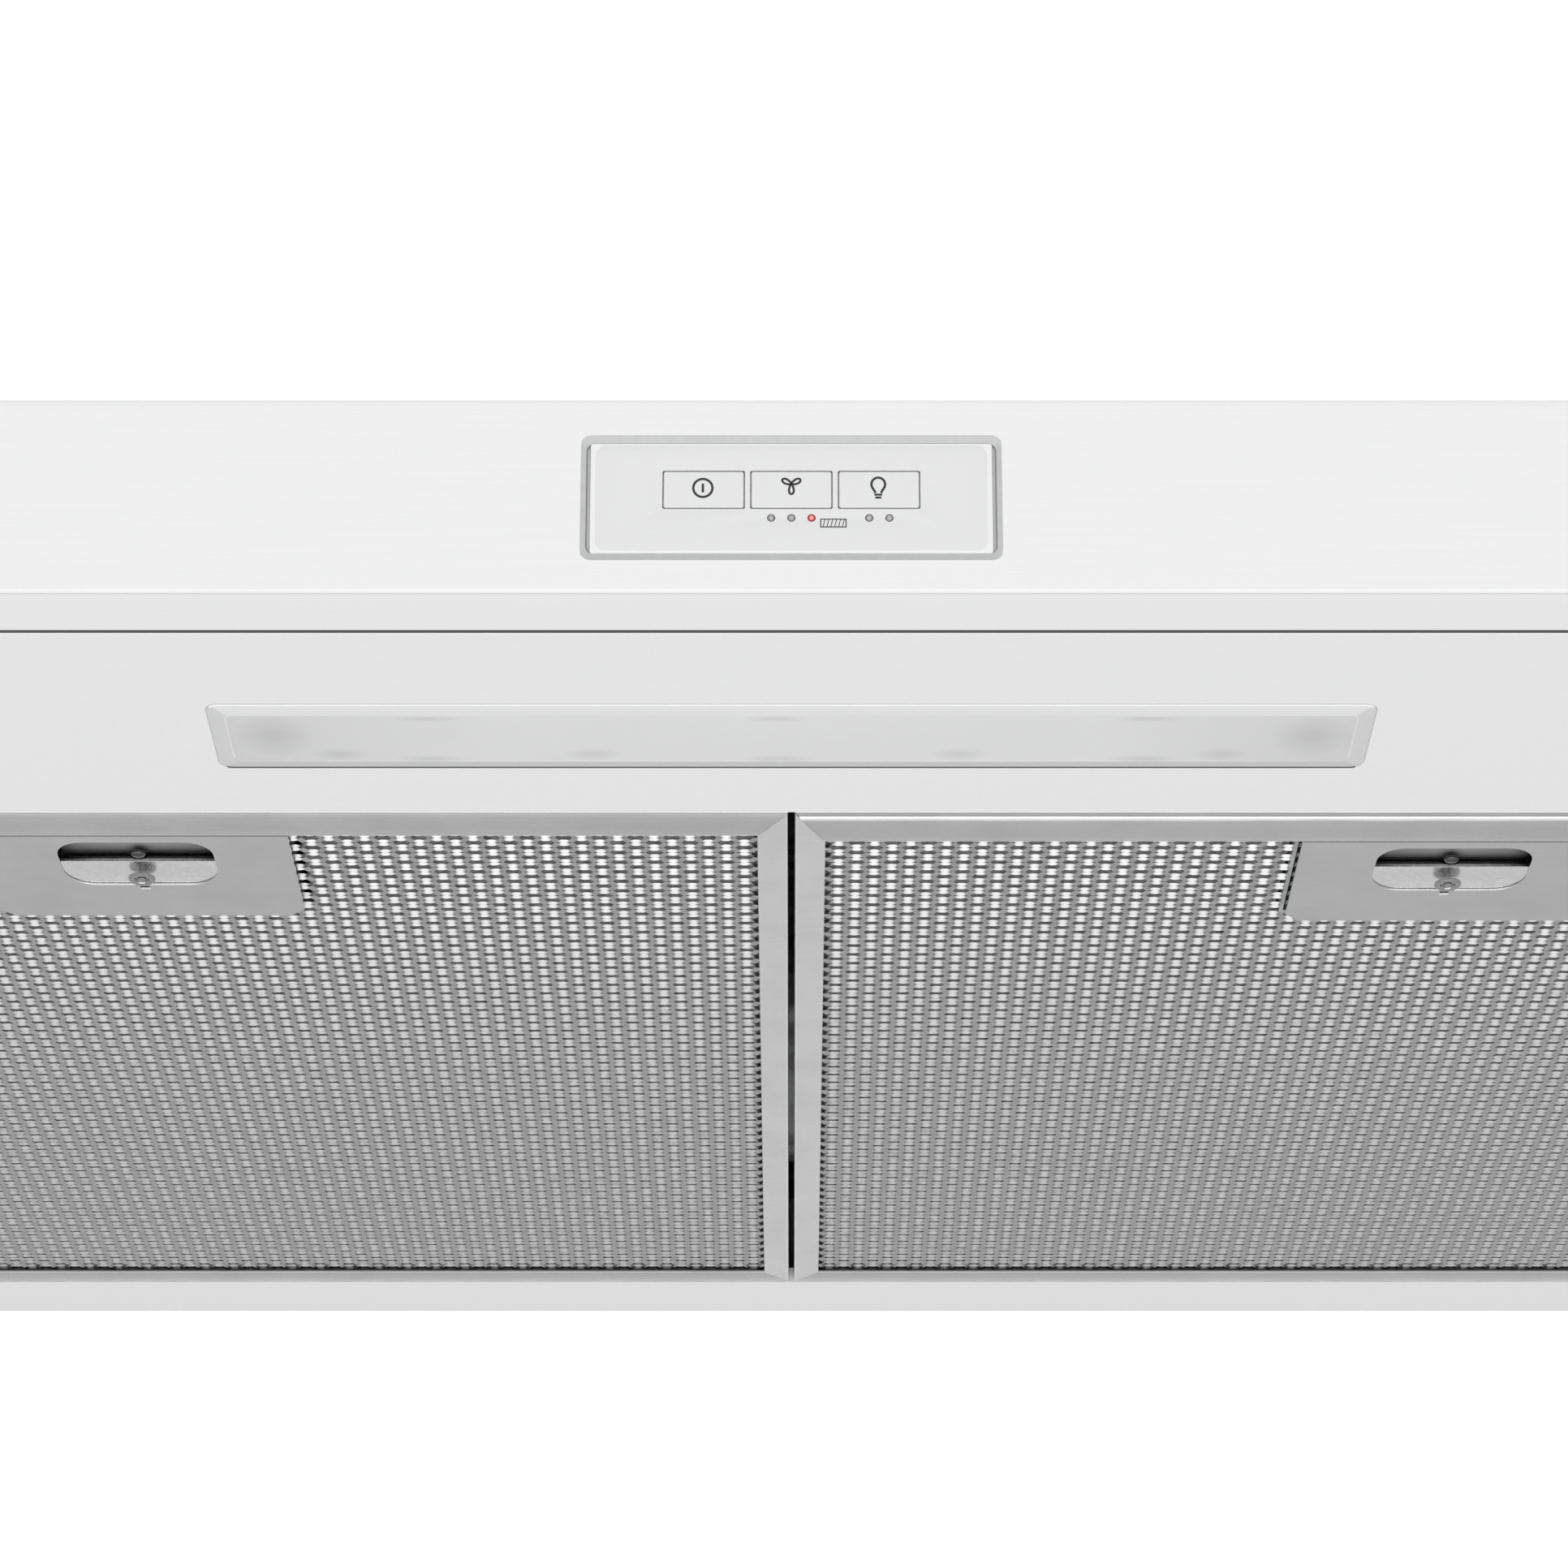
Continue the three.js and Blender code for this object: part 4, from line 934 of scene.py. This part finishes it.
def rail(outer, inner, axis, bead, along_v=False):
    """One mitred rail of a filter frame, which runs along x or along v.

    outer and inner are the (start, end) spans of its outer and inner edges along the rail, and
    axis holds its two edges' places across the rail. A bead is (tilt in degrees, where it starts,
    how far it stands below the rail): the outer edge is rolled and pressed to a flat of that tilt.
    """
    edge_out, edge_in = axis
    width = abs(edge_in - edge_out)
    way = math.copysign(1, edge_in - edge_out)
    tall = 9
    if bead:
        tilt, start, crest = math.radians(bead[0]), bead[1], bead[2]
        flat = 1.25
        reach, rise = flat * math.cos(tilt), flat * math.sin(tilt)
        profile = [(0, crest - rise - 0.3), (0.1, crest - rise - 0.2),
                   (start, crest - rise), (start + reach, crest),
                   (start + reach + 0.2, crest + 0.05),
                   (start + reach + 0.45, crest), (start + reach + 0.8, 0.02),
                   (start + reach + 0.95, -0.1), (start + reach + 1.1, -0.1),
                   (start + reach + 1.3, 0)]
    else:
        bend = 0.9
        profile = arc_points(bend, -bend, bend, 180, 90, 6)
    profile += [(width - 0.5, 0), (width - 0.15, -0.12), (width, -0.42),
                (width, -1.0), (1, -1.0), (1, -tall), (0, -tall)]
    rings = []
    for span_out, span_in in zip(outer, inner):
        ring = []
        for u, n in profile:
            along, across = span_out + (span_in - span_out) * u / width, edge_out + way * u
            ring.append((across, along, n) if along_v else (along, across, n))
        rings.append(ring)
    return solid(rings, 30)


def filter_frame(x0, x1, front, rear, bead, deep):
    """Four mitred rails in the UNDER frame; front and rear are distances forward."""
    side = FILTER_RAIL["side"]
    seam = 0.06
    meshes, sides = [], []
    spans = ((x0 + seam, x1 - seam), (x0 + side + seam, x1 - side - seam))
    for edges, rolled in (((front, front - deep), bead), ((rear, rear + side), None)):
        meshes.append(rail(*spans, edges, rolled))
    spans = ((rear + seam, front - seam), (rear + side + seam, front - deep - seam))
    for edges in ((x0, x0 + side), (x1, x1 - side)):
        sides.append(rail(*spans, edges, None, along_v=True))
    middle = (x0 + x1) / 2
    for x in (middle - 100, middle + 100):
        meshes.append(rounded_block(x - 16, x + 16, rear - 8, rear + 0.9, -6.55, -5.65, 0.25))
    return joined(meshes), joined(sides)


BONDED = ((0.0, 0.0, 43, 0.9), (0.12, 0.0, 42.5, 0.87), (0.22, 0.01, 39, 0.74),
          (0.3, 0.06, 33, 0.68), (0.39, 0.25, 28.5, 1.1), (0.5, 0.5, 26.5, 1.62),
          (0.61, 0.75, 28.5, 1.1), (0.7, 0.94, 33, 0.68), (0.78, 0.99, 39, 0.74),
          (0.88, 1.0, 42.5, 0.87))
PLAIN = ((0.0, 0.0, 54, 0.86), (0.5, 0.5, 26, 1.3))
CALM_TILT = math.radians(34)
CALM_LENGTH = 170


def expanded_mesh(x0, x1, v0, v1, level, keep_out, stations_at=BONDED, flip=1, ahead=0.0):
    """Expanded metal: zigzag strands that join at alternate peaks, tilted like louvres.

    Each strand has a flat visible face and a ridge behind it. level is the sheet's mean height,
    keep_out a box (x0, x1, v0, v1) that it stops short of, and stations_at lists places along
    half a mesh as (share of its length, share of its climb, tilt in degrees, width in mm). The
    bonds flatten over CALM_LENGTH from the filter's front, which is ahead of the sheet's end v1.
    """
    half_long, half_short = MESH_LONG / 2, MESH_SHORT / 2
    shares, climb_at, tilt_at, width_at = np.array(stations_at).T
    tilt_at = np.radians(tilt_at)
    depth = 0.5
    columns = math.ceil((x1 - x0) / half_long)
    rows = int((v1 - v0) / half_short)
    verts, faces = [], []
    base = 0
    for row in range(rows):
        stations = []
        for column in range(columns):
            up = (row + column) % 2
            for share, rise, tilt, width in zip(shares, climb_at, tilt_at, width_at):
                climb = 1 - rise if up else rise
                stations.append((x0 + (column + share) * half_long, climb, tilt, width))
        grid = np.array(stations)
        x, climb, tilt, width = grid.T
        calm = min(1, max(0, (v1 - v0 - row * half_short + ahead) / CALM_LENGTH))
        tilt = tilt + (CALM_TILT - tilt) * 0.6 * calm
        width = width * (1 + 0.22 * calm)
        dv, dn = np.cos(tilt) * width / 2, np.sin(tilt) * width / 2
        v = v0 + (row + climb) * half_short - (2 * climb - 1) * dv[0]
        rise = (2 * climb - 1) * dn[0]
        mid = np.stack([x, v, level + flip * rise], 1)
        low = mid + np.stack([0 * x, -dv, flip * dn], 1)
        high = mid + np.stack([0 * x, dv, -flip * dn], 1)
        back = mid - np.stack([0 * x, np.sin(tilt) * depth, flip * np.cos(tilt) * depth], 1)
        inside = ~((x > keep_out[0]) & (x < keep_out[1]) & (mid[:, 1] > keep_out[2])
                   & (mid[:, 1] < keep_out[3]))
        ring = np.stack([low, high, back], 1)
        verts.append(ring.reshape(-1, 3))
        count = len(x)
        run = None
        for i in range(count):
            if inside[i] and run is None:
                run = i
            if run is not None and (not inside[i] or i == count - 1):
                end = i if inside[i] else i - 1
                if end > run:
                    faces += strand_faces(base, run, end)
                run = None
        base += count * 3
    mesh = bpy.data.meshes.new("expanded")
    mesh.from_pydata(np.concatenate(verts), [], faces)
    bm = bmesh.new()
    bm.from_mesh(mesh)
    bpy.data.meshes.remove(mesh)
    loose = [v for v in bm.verts if not v.link_faces]
    bmesh.ops.delete(bm, geom=loose, context="VERTS")
    bmesh.ops.recalc_face_normals(bm, faces=bm.faces)
    return to_mesh(bm, 50)


def strand_faces(base, first, last):
    """A three-sided tube from station first to last, capped at both ends."""
    faces = []
    for i in range(first, last):
        a, b = base + 3 * i, base + 3 * (i + 1)
        for k in range(3):
            m = (k + 1) % 3
            faces.append((a + k, a + m, b + m, b + k))
    a, b = base + 3 * first, base + 3 * last
    faces.append((a + 2, a + 1, a))
    faces.append((b, b + 1, b + 2))
    return faces


def packing(x0, x1, v0, v1, top, bottom, step=2.4):
    """The crumpled inner layers of the filter, as one closed rumpled slab."""
    nx, nv = int((x1 - x0) / step), int((v1 - v0) / step)
    xs = np.linspace(x0, x1, nx + 1)
    vs = np.linspace(v0, v1, nv + 1)
    grid_x, grid_v = np.meshgrid(xs, vs, indexing="ij")
    wave = np.sin(grid_x * 0.9) * np.cos(grid_v * 1.1) + np.sin(grid_x * 0.41 + grid_v * 0.73)
    bm = bmesh.new()
    layers = []
    for level, sign in ((bottom, 1), (top, -1)):
        height = level + sign * wave * 0.25
        layers.append([[bm.verts.new((grid_x[i, j], grid_v[i, j], height[i, j]))
                        for j in range(nv + 1)] for i in range(nx + 1)])
    for layer in layers:
        for i in range(nx):
            for j in range(nv):
                bm.faces.new((layer[i][j], layer[i + 1][j], layer[i + 1][j + 1], layer[i][j + 1]))
    low, high = layers
    rims = [((i, j), (i + 1, j)) for i in range(nx) for j in (0, nv)]
    rims += [((i, j), (i, j + 1)) for j in range(nv) for i in (0, nx)]
    for (i, j), (k, m) in rims:
        bm.faces.new((low[i][j], low[k][m], high[k][m], high[i][j]))
    return finish_mesh(bm, 60)


def finger_ring(grow, height, notch=False):
    """The latch opening's outline, with large round corners and a notch for the rivet's neck."""
    half, rear, front = FINGER["half"] + grow, FINGER["rear"] - grow, FINGER["front"] + grow
    front_radius, rear_radius = 8 + grow, 9 + grow
    corners = [(half, rear, rear_radius, -90), (half, front, front_radius, 0),
               (-half, front, front_radius, 90), (-half, rear, rear_radius, 180)]
    points = []
    for x, v, radius, start in corners:
        cx = x - math.copysign(radius, x)
        cv = v + radius if v == rear else v - radius
        points += [(*p, height) for p in arc_points(cx, cv, radius, start, start + 90, 8)]
    if notch:
        wide, deep = 1.65 + grow, rear - 2.6
        points += [(-wide, rear, height), (-wide, deep, height), (wide, deep, height),
                   (wide, rear, height)]
    return points


def latch_plate():
    """The stamped plate round the finger opening, whose edge turns in."""
    p = LATCH_PLATE
    c = p["chamfer"]
    outline = [(-p["half"], p["rear"] + c), (-p["half"] + c, p["rear"]),
               (p["half"] - c, p["rear"]), (p["half"], p["rear"] + c),
               (p["half"], p["front"] + 0.2), (-p["half"], p["front"] + 0.2)]
    bm = bmesh.new()
    fill_flat(bm, outline, [(x, v) for x, v, _ in finger_ring(0, 0, True)])
    turn_in = [finger_ring(-0.4 * math.sin(a), -0.4 * (1 - math.cos(a)), True)
               for a in (math.radians(15 * i) for i in range(7))]
    loft(bm, turn_in + [finger_ring(-0.4, -0.55, True)])
    loft(bm, [[(x, v, -deep) for x, v in outline] for deep in (0, 0.9)])
    return sheet_mesh(bm)


def slider_pan(lip):
    """The catch's dished face, which follows the opening's rim, with a rolled edge in front."""
    def ring(grow, height, lip_drop=0.0):
        return [(x, min(v, lip - lip_drop), n) for x, v, n in finger_ring(grow, height)]

    rings = [ring(3.0, -1.5), ring(3.0, -0.78), ring(0.0, -0.68, 0.05), ring(-0.7, -0.66, 0.12),
             ring(-1.3, -0.8, 0.25), ring(-2.2, -1.15, 0.5), ring(-3.0, -1.4, 0.9),
             ring(-3.8, -1.45, 1.4)]
    return solid(rings)


def slider_arms():
    """The catch's plate, with two arms that reach forward to the tongue."""
    top, tongue_top, under = -4.1, -5.5, -2.9
    parts = ((-24, 24, 182.5, 188.6, top), (-24, -2.8, 176, 183, top), (2.8, 24, 176, 183, top),
             (-26, -22, 176, 217.8, top), (22, 26, 176, 217.8, top), (-26, 26, 214, 218, top),
             (-12, 12, 213.8, 220.6, tongue_top))
    return joined([rounded_block(*part, under, 0.3) for part in parts])


def latch_well():
    """The sheet that curves up behind the finger opening's front edge and roofs it over."""
    curve, front, roof = 4.2, 205.2, -5.3
    bm = bmesh.new()
    strips(bm, arc_points(front - curve, roof + curve, curve, 0, -90, 8) + [(186, roof)], 21.6)
    return sheet_mesh(bm)


def rivet_mesh():
    """A rolled tubular rivet with its mandrel showing in the middle."""
    profile = [(0, -5.0), (1.0, -5.0), (1.0, 0.12), (3.45, 0.14), (3.75, 0.3), (3.7, 0.75),
               (3.35, 1.0), (2.9, 1.08), (2.4, 1.0), (2.05, 0.7), (1.9, 0.25), (1.15, 0.25),
               (1.1, 0.8), (0.8, 1.0), (0.4, 1.06), (0, 1.08)]
    return turned(profile, 36)


def spring_mesh():
    """The latch's compression spring, as a round wire."""
    turns, wire, coil = 7, 0.35, 1.9
    start, end, height = 161.1, 175.4, -4.3
    steps = turns * 24
    rings = []
    for i in range(steps + 1):
        angle = 2 * math.pi * turns * i / steps
        out = Vector((math.cos(angle), 0, math.sin(angle)))
        centre = out * coil + Vector((0, start + (end - start) * i / steps, height))
        rings.append([centre + out * a + Vector((0, b, 0)) for a, b in circle(0, 0, wire, 8)])
    return solid(rings, 60)


# How far each latch sits to the right of its filter's middle, and how far back.
LATCH_SHIFTS = {"left": (0.9, 0), "right": (1.5, 3.4)}
# What rail takes as the bead of each filter's front rail.
BEADS = {"left": (29, 0.15, 0.3), "right": (42, 2.2, 0.5)}


def filter_layers(put, x0, x1, rear, front, middle, plate_rear):
    """Expanded metal below and above the packing, all cut away round the latch."""
    inset = 2.2
    x0, x1, rear, front = x0 + inset, x1 - inset, rear + inset, front - inset
    everywhere = 1000
    hold, clear = 45.5, 41.5
    latch_zone = (middle - hold, middle + hold, plate_rear - 1.2, everywhere)
    clear_zone = (middle - clear, middle + clear, plate_rear + 1.2, everywhere)
    halfway = rear + 30 * MESH_SHORT
    for v0, v1, end in ((halfway, front, "front"), (rear, halfway, "rear")):
        lower = expanded_mesh(x0, x1, v0, v1, -2.2, clear_zone, ahead=front - v1)
        put(f"mesh_{end}", lower, MESH_METAL, "aluminium", UNDER, "filter_mesh")
    upper = expanded_mesh(x0, x1, rear, front, -7.4, latch_zone, PLAIN, flip=-1)
    put("mesh_upper", upper, MESH_METAL, "aluminium", UNDER)
    split = plate_rear - 1.5
    areas = ((x0, x1, rear, split), (x0, middle - hold, split, front),
             (middle + hold, x1, split, front))
    fill = [packing(*area, -5.9, -4.1) for area in areas]
    put("packing", joined(fill), PACKING, "aluminium", UNDER)


def finger_latch(put, place, latch):
    """The cover with its opening, and the sprung catch that slides under it."""
    thicken(put("latch_cover", latch_plate(), LATCH_SHEET, "aluminium", place, "latch_plate"),
            THIN_SHEET)
    put("slider_pan", slider_pan(191.5), SLIDER_STEEL, "steel", place, "latch_slider", latch)
    put("slider_arms", slider_arms(), DARK_STEEL, "steel", place, "latch_slider", latch)
    well = put("latch_well", latch_well(), WELL_METAL, "aluminium", place)
    add_modifier(well, "SOLIDIFY", thickness=THIN_SHEET, offset=0)
    rivet_place = place @ Matrix.Translation((0, 183.1, 0))
    put("rivet", rivet_mesh(), RIVET_METAL, "steel", rivet_place, "latch_rivet", latch)
    stud = turned([(0, -3.3), (2.4, -3.3), (2.4, -2.5), (1.6, -1.8), (0, -1.6)], 24)
    stud_place = place @ Matrix.Translation((0, 191.3, 0))
    put("stud", stud, DARK_STEEL, "steel", stud_place, None, latch)
    put("spring", spring_mesh(), NICKEL, "steel", place, "latch_spring")


def grease_filter(side):
    low, high = cad_box(f"{side}_filter_frame")
    x0, x1, front = low.x, high.x, -low.y
    rear = front - FILTER_LENGTH

    def put(part, mesh, material, slot, matrix, instead_of=None, body=f"{side}_filter"):
        replaces = [f"{side}_{instead_of}"] if instead_of else ()
        return add_piece(f"{side}_{part}", mesh, body, material, matrix, slot, replaces)

    aside, back = LATCH_SHIFTS[side]
    middle = (x0 + x1) / 2 + aside
    ends, sides = filter_frame(x0, x1, front, rear, BEADS[side], FILTER_RAIL["front"] + back)
    put("end_rails", ends, RAIL, "aluminium", UNDER, "filter_frame")
    put("side_rails", sides, SIDE_RAIL_LIT, "aluminium", UNDER)
    filter_layers(put, x0, x1, rear, front, middle, LATCH_PLATE["rear"] - back)
    finger_latch(put, UNDER @ Matrix.Translation((middle, -back, 0)), f"{side}_latch")


# ---------------------------------------------------------------- kept CAD nodes

NODE_FINISH = (
    (ENAMEL, "top_panel left_side_panel right_side_panel"),
    (PLAIN_ENAMEL, "back_panel rear_filter_rail"),
    (ZINC, "rear_knockout light_tray left_latch_box right_latch_box blower_scroll"
           " blower_left_side blower_right_side motor_bracket left_blower_wheel"
           " right_blower_wheel duct_collar damper_flap wiring_box wiring_box_cover"),
    (WHITE_BOARD, "led_board"),
    (DRIVER_PLASTIC, "led_driver"),
    (GREEN_BOARD, "control_board"),
    (DARK_PLASTIC, "control_housing power_switch fan_switch light_switch terminal_block"
                   " cable_bushing control_harness"),
    (ALLOY, "blower_motor run_capacitor"),
    (NICKEL, "motor_shaft damper_pin"),
)
EDGE_WIDTH = {"blower_motor": 1.2, "run_capacitor": 1.5, "terminal_block": 0.6, "led_driver": 1.2}


def dress_node(name, material):
    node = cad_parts[name]
    if not node.data.materials:
        node.data.materials.append(material)
    else:
        for slot in node.material_slots:
            slot.link = "OBJECT"
            slot.material = material
    add_modifier(node, "BEVEL", width=EDGE_WIDTH.get(name, 0.22) * MM, segments=2,
                 limit_method="ANGLE", angle_limit=math.radians(40), harden_normals=False)
    add_modifier(node, "WEIGHTED_NORMAL", keep_sharp=True)


def dress_nodes():
    for material, names in NODE_FINISH:
        for name in names.split():
            dress_node(name, material)


# ---------------------------------------------------------------- stage and light

def add_stage():
    bm = bmesh.new()
    bmesh.ops.create_grid(bm, x_segments=1, y_segments=1, size=14)
    mesh = bpy.data.meshes.new("floor")
    bm.to_mesh(mesh)
    bm.free()
    mesh.materials.append(new_material("floor_paint", 0.8, 0.8))
    floor = bpy.data.objects.new("floor", mesh)
    floor.location.z = -2.8
    bpy.context.collection.objects.link(floor)


def add_area(name, place, target, size, watts):
    data = bpy.data.lights.new(name, "AREA")
    data.shape = "RECTANGLE"
    data.size, data.size_y = size
    data.energy = watts
    light = bpy.data.objects.new(name, data)
    light.location = place
    way = Vector(target) - Vector(place)
    light.rotation_euler = way.to_track_quat("-Z", "Y").to_euler()
    light.visible_camera = False
    bpy.context.collection.objects.link(light)


def direction_shade(world, behind, ahead):
    """A sky that is `behind` bright past the hood and `ahead` bright in front of it."""
    place = add_node(world, "TexCoord").outputs["Generated"]
    split = add_node(world, "SeparateXYZ", Vector=place)
    strength = ranged(world, split.outputs["Y"], ahead, behind, -0.1, 0.6,
                      {"interpolation_type": "SMOOTHSTEP"})
    set_input(world, world.node_tree.nodes["Background"], "Strength", strength)


def add_light():
    world = bpy.data.worlds.new("studio")
    world.use_nodes = True
    world.node_tree.nodes["Background"].inputs["Color"].default_value = (1, 1, 1, 1)
    direction_shade(world, 1.02, 0.5)
    bpy.context.scene.world = world
    bpy.context.scene.view_settings.view_transform = "Standard"
    add_area("front_softbox", (0, -3.2, 0.6), (0, -0.33, -0.1), (3.0, 1.6), 21)
    add_area("low_softbox", (0, -1.55, -2.2), (0, -0.1, -0.14), (3.6, 1.7), 33)


def build():
    front_fascia()
    brow_seam()
    seam_shadow_strip()
    underside_panel()
    light_lens()
    sheet_screws()
    led_strip()
    control_overlay()
    buttons()
    lamps()
    for side in ("left", "right"):
        grease_filter(side)
    dress_nodes()
    add_stage()
    add_light()


build()
